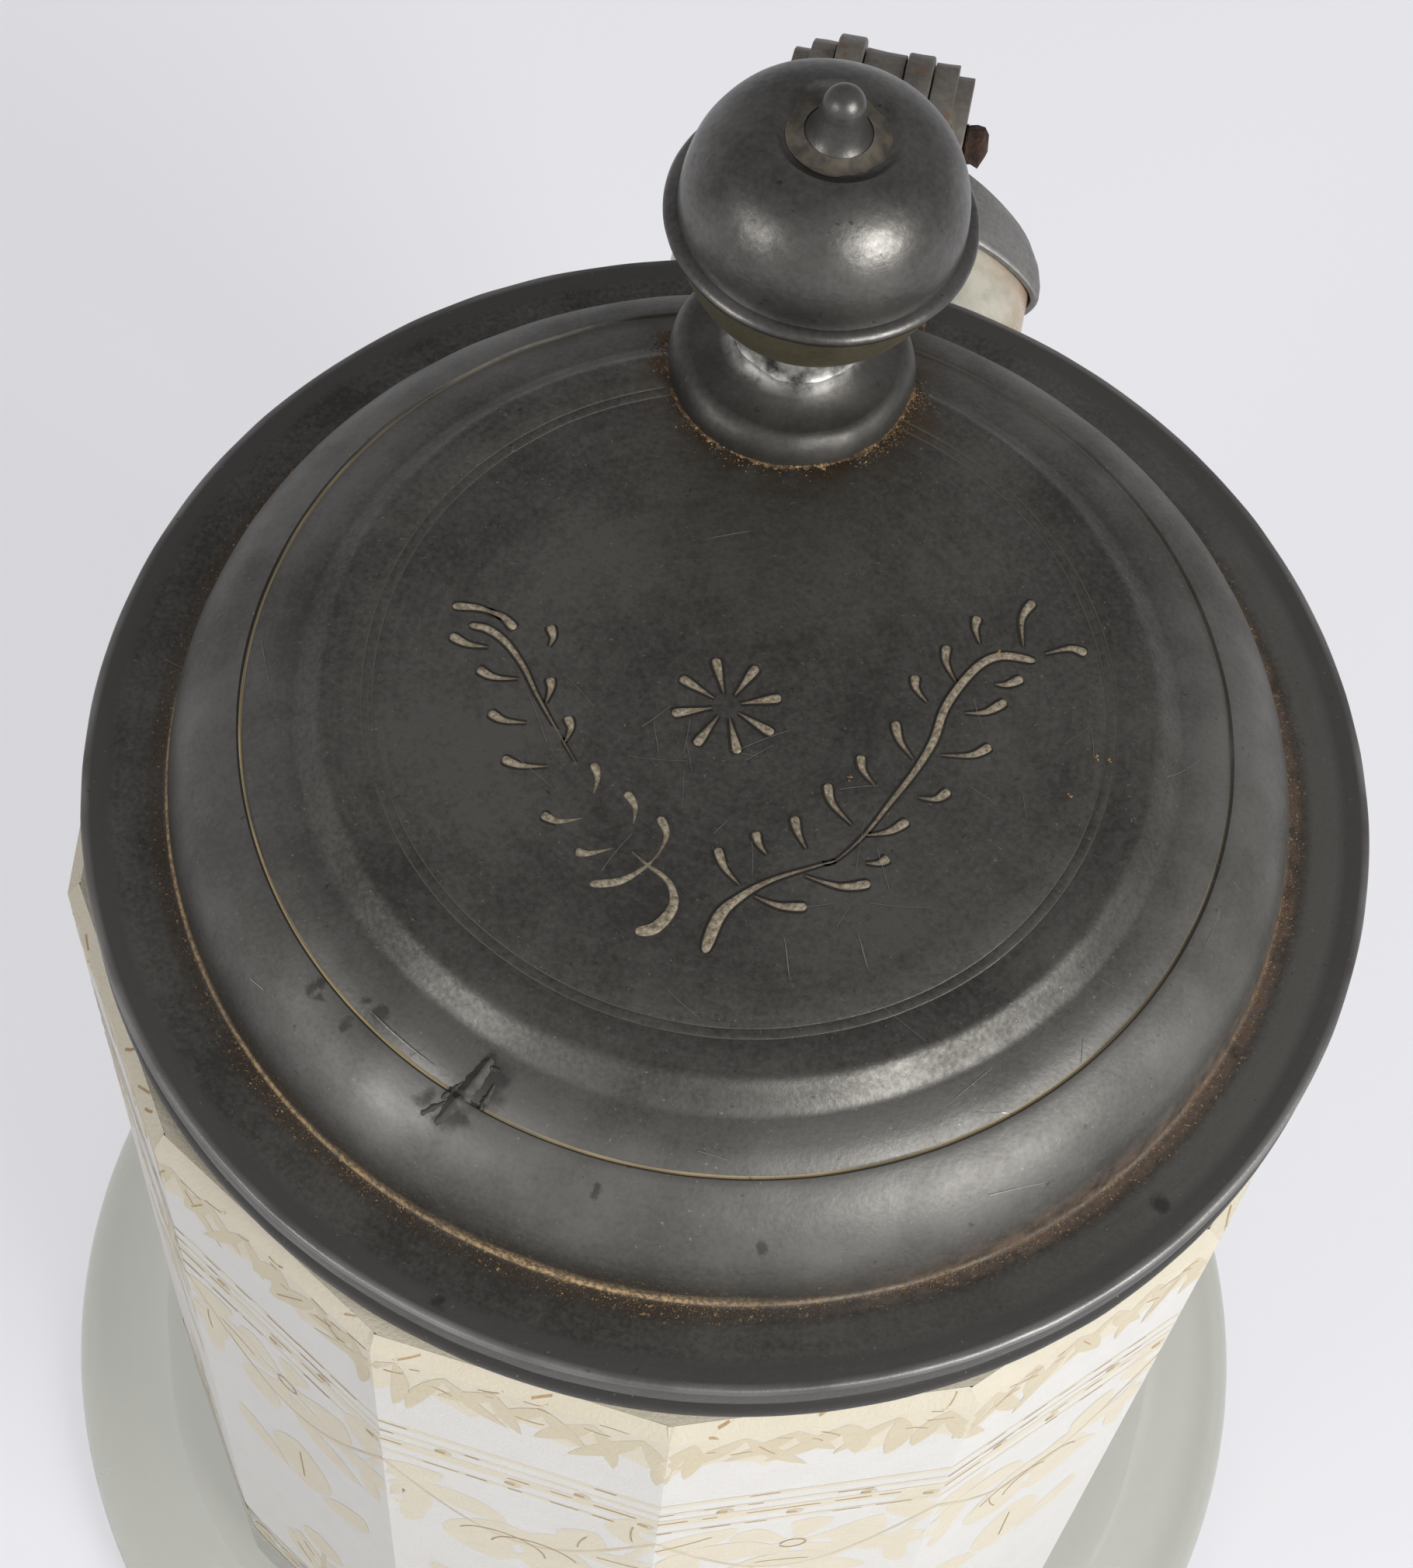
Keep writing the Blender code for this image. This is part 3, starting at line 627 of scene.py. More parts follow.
def pewter(name, dark, light, low, high, dirt, dirt_share, bright=0.75):
    """Tarnished pewter: satin metal under a dull skin, mottled dark and grey, with dirt in its pits."""
    # Patches of tarnish of 9 mm, grain of 0.6 mm, pits on a spacing of 0.9 mm and dirt in patches of 3 mm
    patterns = (9.091, 6, 0.6), (0.5882, 3, 0.6), (0.9091, 3, 0.7), (3.03, 5, 0.7)
    material, tree, shader, _, patch, fine, pitted, smut = surface(name, {}, *patterns)
    both = add(tree, "Mix", {0: 0.3, 2: patch, 3: fine}, data_type="FLOAT")
    soil = add(tree, "MapRange", [smut, 0.68 - dirt_share, 0.78 - dirt_share])
    clean = add(tree, "Math", [1.0, soil], operation="SUBTRACT")
    colour = layered(
        tree,
        dark,
        (add(tree, "MapRange", [both, 0.36, 0.66]), light),
        (add(tree, "MapRange", [pitted, 0.66, 0.73, 0.0, 0.7]), "#2f2d2a"),
        (soil, dirt),
    )
    feed(tree, shader, {
        "Base Color": colour,
        "Metallic": add(tree, "Math", [clean, bright], operation="MULTIPLY"),
        "Roughness": add(tree, "MapRange", [both, 0.3, 0.7, high, low]),
        "Normal": add(tree, "Bump", {"Strength": 0.2, "Distance": 0.4 * MM, "Height": both}),
    })
    return material


collar_pewter = pewter("rubbed_sheet_pewter", "#63625f", "#8f8d8a", 0.5, 0.66, "#776450", 0.06, 0.6)
piece("bent_collar", dent(points, 0.15, 7), faces, collar_pewter, "vessel", "old_pewter", "handle_collar")

# Hinge: a cast block with three knuckles on the collar, and a leaf with two knuckles on the lid.
# Filed by hand, so its edges are worn round and its faces uneven.

SHARP = math.radians(32)
LONGEST_EDGE = 1.5 * MM


def worn(node, material, body, slot, edge, amount, seed, spread=0.0, size=2.5):
    """The casting of a CAD node with its edges worn round, uneven, and spread a little along the pin."""
    shape = bmesh.new()
    shape.from_mesh(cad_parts[node].data)
    bmesh.ops.remove_doubles(shape, verts=shape.verts, dist=1e-6)
    bmesh.ops.dissolve_limit(shape, angle_limit=math.radians(3), verts=shape.verts, edges=shape.edges)
    shape.normal_update()
    for vert in shape.verts:
        vert.co.x += spread * MM * (vert.normal.x > 0.3) - spread * MM * (vert.normal.x < -0.3)
    sharp = [e for e in shape.edges if len(e.link_faces) == 2 and e.calc_face_angle() > SHARP]
    rounding = {"offset": edge * MM, "segments": 3, "profile": 0.5}
    bmesh.ops.bevel(shape, geom=sharp, affect="EDGES", clamp_overlap=True, **rounding)
    bmesh.ops.triangulate(shape, faces=shape.faces)
    long_edges = [e for e in shape.edges if e.calc_length() > LONGEST_EDGE]
    bmesh.ops.subdivide_edges(shape, edges=long_edges, cuts=1)
    bmesh.ops.triangulate(shape, faces=shape.faces)
    flat = [v.co / MM for v in shape.verts]
    moved = dent([tuple(p) for p in flat], amount, size, seed)
    points = [(p.x + 0.2 * (m[0] - p.x), m[1], m[2]) for p, m in zip(flat, moved)]
    shape.verts.index_update()
    faces = [tuple(v.index for v in f.verts) for f in shape.faces]
    shape.free()
    return piece(f"worn_{node}", points, faces, material, body, slot, node)


hinge_pewter = pewter("tarnished_cast_pewter", "#524d47", "#7a756c", 0.48, 0.64, "#5a4231", 0.12, 0.6)
worn("hinge_stand", hinge_pewter, "vessel", "old_pewter", 0.4, 0.16, 2.0, 0.09)
worn("lid_hinge_leaf", hinge_pewter, "lid", "old_pewter", 0.35, 0.14, 5.0, 0.09)

# Hinge pin: iron wire, peened over at both ends. It has rusted, so it is brown and scaly.
# Rust has eaten its heads smaller, and its shaft stays within its bore.

HINGE_Y = 69.1 * MM
HINGE_Z = 146.9 * MM
PIN_RADIUS = 1.6 * MM
PIN_HEAD_FROM = 8.5 * MM
HEAD_EDGE = 2.1 * MM

# Rusted iron: dull brown to black, with scales of 1.1 mm that stand up
rusty_iron, tree, shader, _, scales = surface("rusted_iron_wire", {"Roughness": 0.85}, (1.111, 6, 0.7))
feed(tree, shader, {
    "Base Color": layered(tree, "#1f140f", (add(tree, "MapRange", [scales, 0.35, 0.65]), "#4c3224")),
    "Normal": add(tree, "Bump", {"Strength": 0.9, "Distance": 0.8 * MM, "Height": scales}),
})
pin = worn("hinge_pin", rusty_iron, "vessel", "rusty_iron", 0.2, 0.5, 9.0, 0.0, 1.4)
for vert in pin.data.vertices:
    out = Vector((0, vert.co.y - HINGE_Y, vert.co.z - HINGE_Z))
    if out.length > HEAD_EDGE:
        vert.co -= out * 0.28
    elif abs(vert.co.x) < PIN_HEAD_FROM and out.length > PIN_RADIUS:
        vert.co -= out * (1 - PIN_RADIUS / out.length)

# Lid: one pewter casting, turned in steps: rolled rim, flange, round shoulder, sloped band and flat plate.
# The plate is scribed with a double ring, and a line is scribed where the band meets the shoulder.
# Tarnish lies dark on the level faces, hands have rubbed the shoulder and the lip, dirt fills the corners.
# The flange's right side and the lip's upper edge carry painted light, and the lip's lower side and the
# scribed line's lower edge carry painted shade.

PLATE_Z = 155.2
FLANGE_Z = 141.9
SHOULDER = (38.61, 141.9)
DOUBLE_RING = (30.3, 31.2)
SCRIBED_LINE = 41.28
FLANGE_CORNER = 48.5
BLOW = (-13.8, -38.4)
THUMB = (-2.1, 33.8)


def turned(profile, sides):
    """Points and faces of a profile of (radius, height) points turned about the axis."""
    columns = []
    for radius, height in profile:
        if radius < 1e-6:
            columns.append([(0, 0, height)])
            continue
        steps = np.linspace(0, 2 * math.pi, sides, endpoint=False)
        columns.append([(radius * math.cos(a), radius * math.sin(a), height) for a in steps])
    return rings(columns)


def scribed(radius, height, half, depth):
    return [(radius - half, height), (radius, height - depth), (radius + half, height)]


step_down = [(34.2 + 3.2 * t, 153.1 + 2.1 * (1 + math.cos(math.pi * t)) / 2) for t in np.linspace(0, 1, 14)]
shoulder = arc(SHOULDER, (9.39, 10.5), 70.1, 3, 26)
lid_top = [
    (0, PLATE_Z),
    *[(r, PLATE_Z) for r in (4, 10, 16, 22, 27)],
    *scribed(DOUBLE_RING[0], PLATE_Z, 0.07, 0.05),
    *scribed(DOUBLE_RING[1], PLATE_Z, 0.07, 0.05),
    (33.0, PLATE_Z),
    *step_down,
    (39.2, 152.46),
    (41.06, 151.81),
    (41.25, 151.52),
    (41.34, 151.52),
    (41.56, 151.79),
    *shoulder,
    *arc((FLANGE_CORNER, 142.35), (0.5, 0.45), 190, 270, 4),
    *[(r, FLANGE_Z) for r in (49.5, 51, 52.4)],
]
lid_profile = [
    *lid_top,
    (53.2, 141.93),
    *arc((54.9, 141.55), (0.4, 0.4), 90, 6, 7),
    (55.3, 140.1),
    *arc((54.75, 139.5), (0.55, 0.5), 0, -65, 5),
    (54.5, 138.85),
    (54.45, 138.6),
    *arc((52.9, 136.3), (2.4, 2.4), 58, -90, 14),
    (51.3, 133.9),
    (50.5, 134.7),
    (50.5, 139.9),
    (46.0, 139.9),
    *arc((SHOULDER[0], 139.9), (7.39, 10.5), 0, 66, 8),
    (37.0, 151.1),
    (34.0, 153.2),
    (0, 153.2),
]
points, faces = turned(lid_profile, 288)
top_radii, top_heights = zip(*lid_top)


def on_lid(x, y, lift):
    """A point on the lid's upper side, raised by a lift."""
    return (x, y, float(np.interp(math.hypot(x, y), top_radii, top_heights)) + lift)


# Tarnished pewter, turned on a lathe: dark satin with faint rings, mottled, and dirt packed in the corners
lid_pewter, tree, shader, coord, *patterns = surface(
    "tarnished_turned_pewter",
    {},
    (13.33, 7, 0.62), (0.4545, 2, 0.6), (18.18, 3, 0.6), (1.111, 3, 0.7), (0.3846, 1, 0.6),
    (1.25, 4, 0.6), (2.381, 6, 0.6), (2.0, 5, 0.6), (2.0, 4, 0.6), (0.3846, 3, 0.7),
)
patch, grit, long_patch, pitted, dust, ragged_edge, filmy, smeared, rusted, speck = patterns
level = add(tree, "VectorMath", [coord, (1, 1, 0)], operation="MULTIPLY")
radius = add(tree, "VectorMath", [level], "Value", operation="LENGTH")
outward = add(tree, "VectorMath", [level], operation="NORMALIZE")
side, depth, height = add(tree, "SeparateXYZ", [coord]).node.outputs
# Streaks of about 0.7 mm that run round with the turning; the tool's own are finer and wouldn't show
in_and_up = add(tree, "Math", [radius, height], operation="ADD")
streak_axis = add(tree, "Math", [in_and_up, 1 / (0.6667 * MM)], operation="MULTIPLY")
lift = add(tree, "CombineXYZ", {"Z": streak_axis})
drawn_out = add(tree, "VectorMath", [outward, (2.2, 2.2, 0)], operation="MULTIPLY")
streak_place = add(tree, "VectorMath", [drawn_out, lift], operation="ADD")
streak = add(tree, "TexNoise", {"Vector": streak_place, "Scale": 1.0, "Detail": 4, "Roughness": 0.6})
both = add(tree, "Mix", {0: 0.35, 2: patch, 3: grit}, data_type="FLOAT")
mottle = add(tree, "Mix", {0: 0.13, 2: both, 3: streak}, data_type="FLOAT")
# The underside keeps this plain metal: the wear and the dirt below lie on the outside only
inside = layered(tree, "#3e3c38", (add(tree, "MapRange", [mottle, 0.4, 0.6]), "#5e5c57"))
facing_up = add(tree, "SeparateXYZ", [coord.node.outputs["Normal"]], "Z")
outside = add(tree, "MapRange", [facing_up, -0.35, -0.15])


def zone(inner, full_in, full_out, outer, share=1.0):
    """How far a radius in millimetres lies in a ring with soft ends, times a share."""
    rise = add(tree, "MapRange", [radius, inner * MM, full_in * MM])
    fall = add(tree, "MapRange", [radius, outer * MM, full_out * MM])
    ring = add(tree, "Math", [rise, fall], operation="MULTIPLY")
    return add(tree, "Math", [ring, share], operation="MULTIPLY")


def ring_mask(at, half, soft, share):
    """How much of a ring of dirt shows: all of a share within half a width of a radius, in millimetres."""
    return zone(at - half - soft, at - half, at + half, at + half + soft, share)


# Rubbed shoulder, the flange's right side made paler as painted light, the lip, its upper edge worn and with
# a painted highlight, and painted shade on its lower side
rubbed = zone(34.5, 41.5, 46.5, 48.6, add(tree, "MapRange", [mottle, 0.35, 0.6, 0.6, 1.0]))
rubbed_tone = layered(tree, "#575551", (add(tree, "MapRange", [patch, 0.38, 0.62]), "#666460"))
right_flange_painted_light = zone(49.5, 50.5, 53, 54, add(tree, "MapRange", [side, 10 * MM, 50 * MM, 0.0, 0.7]))
lip = zone(52.4, 53.4, 56, 57)
lip_top_wear_and_highlight = zone(54.5, 54.9, 55.4, 56, add(tree, "MapRange", [height, 141.2 * MM, 141.5 * MM]))
in_places = add(tree, "MapRange", [long_patch, 0.35, 0.6, 0.1, 0.8])
low_lip_painted_shade = add(tree, "MapRange", [height, 139.9 * MM, 139.1 * MM, 0.0, 0.8])

# Ragged marks: a polished one beside the blow, dark ones of knocks, and smudges by the thumb-piece
uneven = add(tree, "Math", [ragged_edge, 0.5], operation="SUBTRACT")
ragged = add(tree, "Math", [uneven, 2.2 * MM], operation="MULTIPLY")


def mark(x, y, reach):
    """How far a point lies in a ragged round mark, in millimetres."""
    away = add(tree, "VectorMath", [level, (x * MM, y * MM, 0)], "Value", operation="DISTANCE")
    torn_away = add(tree, "Math", [away, ragged], operation="ADD")
    return add(tree, "MapRange", [torn_away, reach * MM, 0.4 * reach * MM])


polished = add(tree, "Math", [mark(-19.0, -38.9, 4.6), 0.55], operation="MULTIPLY")
dark_marks = 0.0
for x, y, reach in (
    (-12.7, -36.0, 1.0), (-17.2, -39.3, 1.0), (-15.6, -40.6, 0.9), (-14.1, -40.4, 0.8), (-28.3, -32.0, 0.6),
    (-27.5, -31.5, 0.5), (-27.5, -32.7, 0.5), (-24.9, -34.6, 0.7), (-22.4, -33.3, 0.8), (-23.4, -32.5, 0.6),
    (-2.8, -43.7, 0.5), (10.7, -44.5, 0.5), (-13.3, -51.9, 0.8), (41.5, -31.5, 1.0), (-12.9, -38.2, 2.0),
    (-12.2, -36.8, 1.6), (-14.9, -40.1, 1.4),
):
    dark_marks = add(tree, "Math", [dark_marks, mark(x, y, reach)], operation="MAXIMUM")
smudge = add(tree, "Math", [mark(-12.3, 31.2, 2.6), mark(8.8, 29.9, 3.4)], operation="MAXIMUM")
thin = add(tree, "MapRange", [smeared, 0.36, 0.6, 0.1, 0.85])
# Brown film on the plate round the thumb-piece's foot
thumb_middle = (THUMB[0] * MM, THUMB[1] * MM, 0)
from_thumb = add(tree, "VectorMath", [level, thumb_middle], "Value", operation="DISTANCE")
near_thumb = add(tree, "MapRange", [from_thumb, 14.8 * MM, 11.3 * MM])
filmed = add(tree, "MapRange", [filmy, 0.36, 0.6, 0.0, 0.9])
metal = layered(
    tree,
    inside,
    (rubbed, rubbed_tone),
    # Painted light: the flange's right side is made paler, as light from the right falls on it
    (right_flange_painted_light, "#66645f"),
    (lip, "#504e4b"),
    # The lip's upper edge is paler in patches: wear, and a painted highlight
    (lip_top_wear_and_highlight, in_places, "#8f8d89"),
    # Painted shade on the lip's lower side, which faces down and away from the light
    (lip, low_lip_painted_shade, "#373532"),
    # Pits and dust
    (add(tree, "MapRange", [pitted, 0.68, 0.75, 0.0, 0.7]), "#2f2d2a"),
    (add(tree, "MapRange", [dust, 0.735, 0.785, 0.0, 0.6]), "#85827b"),
    (polished, "#807e7a"),
    (dark_marks, 0.75, "#312f2b"),
    (near_thumb, filmed, "#453829"),
    (smudge, thin, "#51402e"),
)

# Dirt is kept in long patches, and that in the scribed line mostly at the front left
kept = add(tree, "MapRange", [long_patch, 0.3, 0.5, 0.35, 1.0])
to_left = add(tree, "Math", [side, -0.6], operation="MULTIPLY")
to_front = add(tree, "Math", [depth, -0.8], operation="MULTIPLY")
front_left = add(tree, "Math", [to_left, to_front], operation="ADD")
front = add(tree, "MapRange", [front_left, -30 * MM, 20 * MM, 0.12, 1.0])
# Dirt in the flange's corner: rust on the right side, a brown film, tan and dark grains, and a tan line
right = add(tree, "MapRange", [side, 12 * MM, 34 * MM])
rust_spots = add(tree, "MapRange", [rusted, 0.35, 0.6])
rust = ring_mask(FLANGE_CORNER, 0.4, 0.7, add(tree, "Math", [right, rust_spots], operation="MULTIPLY"))
film_share, tan_share, dark_share, line_share = [
    add(tree, "Math", [add(tree, "MapRange", [speck, *limits]), kept], operation="MULTIPLY")
    for limits in ((0.38, 0.6, 0.2, 0.9), (0.6, 0.66), (0.42, 0.36), (0.4, 0.58, 0.25, 1.0))
]
brown_film = ring_mask(FLANGE_CORNER + 0.3, 0.5, 0.8, film_share)
tan_grains = ring_mask(FLANGE_CORNER + 0.4, 0.4, 0.9, tan_share)
dark_grains = ring_mask(FLANGE_CORNER + 0.3, 0.5, 0.7, dark_share)
fades_right = add(tree, "MapRange", [side, 30 * MM, 0.0, 0.15, 1.0])
line_share = add(tree, "Math", [line_share, fades_right], operation="MULTIPLY")
corner_line = ring_mask(FLANGE_CORNER - 0.38, 0.07, 0.12, line_share)
# Tan polish in the scribed line, except where the blow has closed it, and painted shade along its lower edge
blow_middle = (BLOW[0] * MM, BLOW[1] * MM, 0)
from_blow = add(tree, "VectorMath", [level, blow_middle], "Value", operation="DISTANCE")
clear_of_blow = add(tree, "MapRange", [from_blow, 1.3 * MM, 1.6 * MM])
open_line = add(tree, "Math", [front, clear_of_blow], operation="MULTIPLY")
kept_line = add(tree, "Math", [kept, open_line], operation="MULTIPLY")
groove = ring_mask(SCRIBED_LINE, 0.07, 0.09, kept_line)
under_line_painted_shade = ring_mask(SCRIBED_LINE + 0.22, 0.05, 0.08, open_line)
double = add(tree, "Math", [ring_mask(r, 0.02, 0.06, kept) for r in DOUBLE_RING], operation="MAXIMUM")
# Brown dirt in the groove of the rim
above_groove = add(tree, "Math", [height, 138.7 * MM], operation="SUBTRACT")
off_groove = add(tree, "Math", [above_groove], operation="ABSOLUTE")
in_groove = add(tree, "MapRange", [off_groove, 0.5 * MM, 0.2 * MM])
rim_dirt = zone(53, 53.5, 56, 57, add(tree, "Math", [in_groove, kept], operation="MULTIPLY"))
colour = layered(
    tree,
    metal,
    (rust, "#4d382b"),
    (brown_film, "#473a2d"),
    (tan_grains, "#86704f"),
    (dark_grains, "#3a2c20"),
    (corner_line, "#a08660"),
    (groove, "#a2926e"),
    # Painted shade along the scribed line's lower edge
    (under_line_painted_shade, "#2b2926"),
    (double, "#625e55"),
    (rim_dirt, "#5a4033"),
)
soil = rust
for dirt in (groove, rim_dirt, corner_line, tan_grains, dark_grains):
    soil = add(tree, "Math", [soil, dirt], operation="MAXIMUM")
soil = add(tree, "Math", [soil, outside], operation="MULTIPLY")
# Dirt is no metal, and rubbing leaves a greyer skin
grey_skin = add(tree, "Math", [rubbed, 0.25], operation="MULTIPLY")
covered = add(tree, "Math", [soil, grey_skin], operation="ADD")
bare = add(tree, "Math", [0.75, covered], operation="SUBTRACT")
satin = add(tree, "MapRange", [mottle, 0.32, 0.68, 0.58, 0.38])
smoother = add(tree, "Math", [polished, 0.12], operation="MULTIPLY")
satin = add(tree, "Math", [satin, smoother], operation="SUBTRACT")
rougher = add(tree, "Math", [rubbed, 0.06], operation="MULTIPLY")
satin = add(tree, "Math", [satin, rougher], operation="ADD")
feed(tree, shader, {
    "Base Color": layered(tree, inside, (outside, colour)),
    "Metallic": add(tree, "Math", [bare, 0.0], operation="MAXIMUM"),
    "Roughness": add(tree, "Mix", {0: soil, 2: satin, 3: 0.85}, data_type="FLOAT"),
    "Normal": add(tree, "Bump", {"Strength": 0.22, "Distance": 0.4 * MM, "Height": mottle}),
})
knocked = dent(dent(points, 0.1, 16, 3.0), 0.05, 4, 6.0)
piece("turned_lid", knocked, faces, lid_pewter, "lid", "old_pewter", "lid_cover", crease=50)

# Blow on the lid's front: a fold pushed up across the scribed line, shreds of metal torn up beside it,
# and a bright burr along the line.

hand = random.Random(11)
ridge = bezier([(-12.9, -35.6), (-13.6, -37.2), (-14.5, -38.9), (-16.1, -40.9)], 24)
ridge_half = 0.72 * np.sin(np.linspace(0.25, math.pi - 0.15, 24)) ** 0.5
ridge_half *= np.array([hand.uniform(0.85, 1.15) for _ in ridge])
fold = [(-1.2, -0.12), (-0.6, 0.3), (-0.1, 0.62), (0.25, 0.55), (0.6, 0.2), (1.1, -0.12)]
torn = [ribbon(ridge, ridge_half, fold, on_lid)]
for start, end, half in (
    ((-14.6, -37.5), (-16.0, -39.1), 0.3), ((-12.2, -37.3), (-12.9, -39.4), 0.34),
    ((-15.4, -39.2), (-17.4, -40.3), 0.26), ((-11.9, -36.4), (-13.1, -36.2), 0.28),
):
    start, end = np.array(start), np.array(end)
    shred = bezier([start, start * 0.6 + end * 0.4 + 0.15, end - 0.1, end], 14)
    shred_half = half * np.sin(np.linspace(0.2, math.pi - 0.1, 14))
    shred_half *= np.array([hand.uniform(0.6, 1.3) for _ in shred])
    torn.append(ribbon(shred, shred_half, fold, on_lid))
# The fold and its shreds are coloured dark
dark_fold_metal = pewter("dark_fold_pewter", "#2f2d2a", "#504e49", 0.52, 0.66, "#33302b", 0.02, 0.6)
piece("pushed_up_ridge", *gather(torn), dark_fold_metal, "lid", "old_pewter")
BURR_RADIUS = 40.5
turn = np.radians(np.linspace(235, 245, 24))
burr = np.stack([BURR_RADIUS * np.cos(turn), BURR_RADIUS * np.sin(turn)], 1)
burr_half = 0.1 * np.sin(np.linspace(0.1, math.pi - 0.1, 24))
burr_half *= np.array([hand.uniform(0.5, 1.2) for _ in burr])
burr_rows = [(-1, -0.1), (0, 0.8), (1, -0.1)]
burr_strip = ribbon(burr, burr_half, burr_rows, lambda x, y, up: on_lid(x, y, up + 0.02))
scratched = pewter("scratched_pewter", "#74726c", "#95938d", 0.36, 0.46, "#5a5248", 0.0)
piece("bright_burr", *burr_strip, scratched, "lid", "old_pewter")

# Dirt on the lid: grains of dried polish and rust in the flange's corner and astray, and older dirt,
# crusted and crumbled, round the thumb-piece.

THUMB_FOOT_RADIUS = 10.9


def grain(x, y, size):
    """An uneven eight-sided grain that lies on the lid."""
    reach = [size * hand.uniform(0.6, 1.3) for _ in range(6)]
    turn = hand.uniform(0, math.pi)
    ways = [turn + k * math.pi / 2 for k in range(4)]
    flat = [(x + r * math.cos(a), y + r * math.sin(a)) for r, a in zip(reach, ways)]
    points = [on_lid(*p, 0.3 * size) for p in flat] + [on_lid(x, y, reach[4]), on_lid(x, y, -reach[5])]
    return points, [(0, 1, 4), (1, 2, 4), (2, 3, 4), (3, 0, 4), (1, 0, 5), (2, 1, 5), (3, 2, 5), (0, 3, 5)]


grains = []
while len(grains) < 2600:
    angle = hand.uniform(-math.pi, math.pi)
    # Thickest at the front and the front right, thin at the back
    if hand.random() < 0.15 + 0.85 * max(0.0, math.cos(angle + math.radians(70))) ** 0.7:
        r = FLANGE_CORNER - 0.3 + abs(hand.gauss(0, 0.42))
        grains.append(grain(r * math.cos(angle), r * math.sin(angle), hand.uniform(0.025, 0.075)))
crumbs = []
for _ in range(1500):
    angle = hand.choice([hand.uniform(-195, 15), hand.uniform(-195, -160), hand.uniform(-50, 5)])
    angle = math.radians(angle)
    r = THUMB_FOOT_RADIUS + 0.05 + abs(hand.gauss(0, 0.75))
    spot = (THUMB[0] + r * math.cos(angle), THUMB[1] + r * math.sin(angle))
    crumbs.append(grain(*spot, hand.uniform(0.025, 0.11)))
for x, y in [(29.6, 0.6), (30.6, 0.5), (27.9, -3.4), (20.2, 8.8), (10.1, -6.0), (-5.0, 26.5)]:
    for _ in range(3):
        spot = (x + hand.uniform(-0.2, 0.2), y + hand.uniform(-0.2, 0.2))
        grains.append(grain(*spot, hand.uniform(0.12, 0.2)))
points = []
for number in range(241):
    angle = math.radians(-200 + 220 * number / 240)
    coarse, fine = noise.noise(Vector((3 * angle, 0, 7))), noise.noise(Vector((17 * angle, 5, 0)))
    wide = 0.4 + 0.5 * coarse + 0.5 * fine
    for share, up in ((0, 0.3), (0.35, 0.2), (0.7, 0.08), (1, -0.02)):
        r = THUMB_FOOT_RADIUS - 0.3 + share * (0.3 + max(0.02, 0.75 * wide + hand.uniform(-0.15, 0.15)))
        spot = (THUMB[0] + r * math.cos(angle), THUMB[1] + r * math.sin(angle))
        points.append(on_lid(*spot, up * hand.uniform(0.3, 1.1)))
faces = [(4 * i + j, 4 * i + j + 1, 4 * i + j + 5, 4 * i + j + 4) for i in range(240) for j in range(3)]
# Dried polish with rust in it, in spots of 1.1 mm and with a grit of 0.3 mm
patterns = (1.111, 5, 0.6), (0.3333, 3, 0.6)
dried_dirt, tree, shader, _, spots, grit = surface("dried_polish_and_rust", {"Roughness": 0.9}, *patterns)
feed(tree, shader, {
    "Base Color": layered(tree, "#392818", (add(tree, "MapRange", [spots, 0.35, 0.65]), "#a08256")),
    "Normal": add(tree, "Bump", {"Strength": 0.6, "Distance": 0.3 * MM, "Height": grit}),
})
piece("dirt_grains", *gather(grains), dried_dirt, "lid", "old_pewter", crease=20)
# Older dirt: browner in patches of 1.4 mm, with tan crumbs of 0.5 mm and a grit of 0.3 mm
patterns = (1.429, 6, 0.7), (0.4762, 3, 0.6), (0.3333, 3, 0.6)
old_dirt, tree, shader, _, brown, tan, grit = surface("brown_crumbly_dirt", {"Roughness": 0.95}, *patterns)
mixed = layered(
    tree,
    "#2c2219",
    (add(tree, "MapRange", [brown, 0.38, 0.62]), "#6f5636"),
    (add(tree, "MapRange", [tan, 0.56, 0.66]), "#a8906a"),
)
feed(tree, shader, {
    "Base Color": mixed,
    "Normal": add(tree, "Bump", {"Strength": 0.8, "Distance": 0.4 * MM, "Height": grit}),
})
piece("thumb_foot_crust", points, faces, old_dirt, "lid", "old_pewter", crease=60)
piece("thumb_foot_crumbs", *gather(crumbs), old_dirt, "lid", "old_pewter", crease=20)

# Sprigs on the plate: two leafy branches and a plain rosette, cut with a graver.
# Each cut is a tear that starts thin at the stem; polish has dried grey-cream in it, and painted shade
# darkens its edges.

FILL = [(-1, -0.05), (-0.78, 0.25), (-0.3, 0.38), (0.3, 0.38), (0.78, 0.25), (1, -0.05)]
FILL_LIFT = 0.03
EDGE_LIFT = 0.02
SHADE_EDGE_WIDTH = 0.19
LEAF_WIDTH = 1.12
FLAT_ROWS = [(-1, 0), (1, 0)]
cuts, edges = [], []


def grave(path, halves):
    cuts.append(ribbon(path, halves, FILL, lambda x, y, up: (x, y, PLATE_Z + FILL_LIFT + up)))
    edges.append(ribbon(path, halves + SHADE_EDGE_WIDTH, FLAT_ROWS, lambda x, y, _: (x, y, PLATE_Z + EDGE_LIFT)))


def through(points, count=9):
    """A smooth path through some points."""
    p = np.array([points[0], *points, points[-1]], float)
    path = []
    for a, b, c, d in zip(p, p[1:], p[2:], p[3:]):
        square, cube = 2 * a - 5 * b + 4 * c - d, 3 * b - a - 3 * c + d
        for t in np.linspace(0, 1, count, endpoint=False):
            path.append(0.5 * (2 * b + (c - a) * t + square * t**2 + cube * t**3))
    return np.array([*path, p[-1]])


def tear(width, *points):
    path = through(points)
    grave(path, tear_width(width, len(path)))


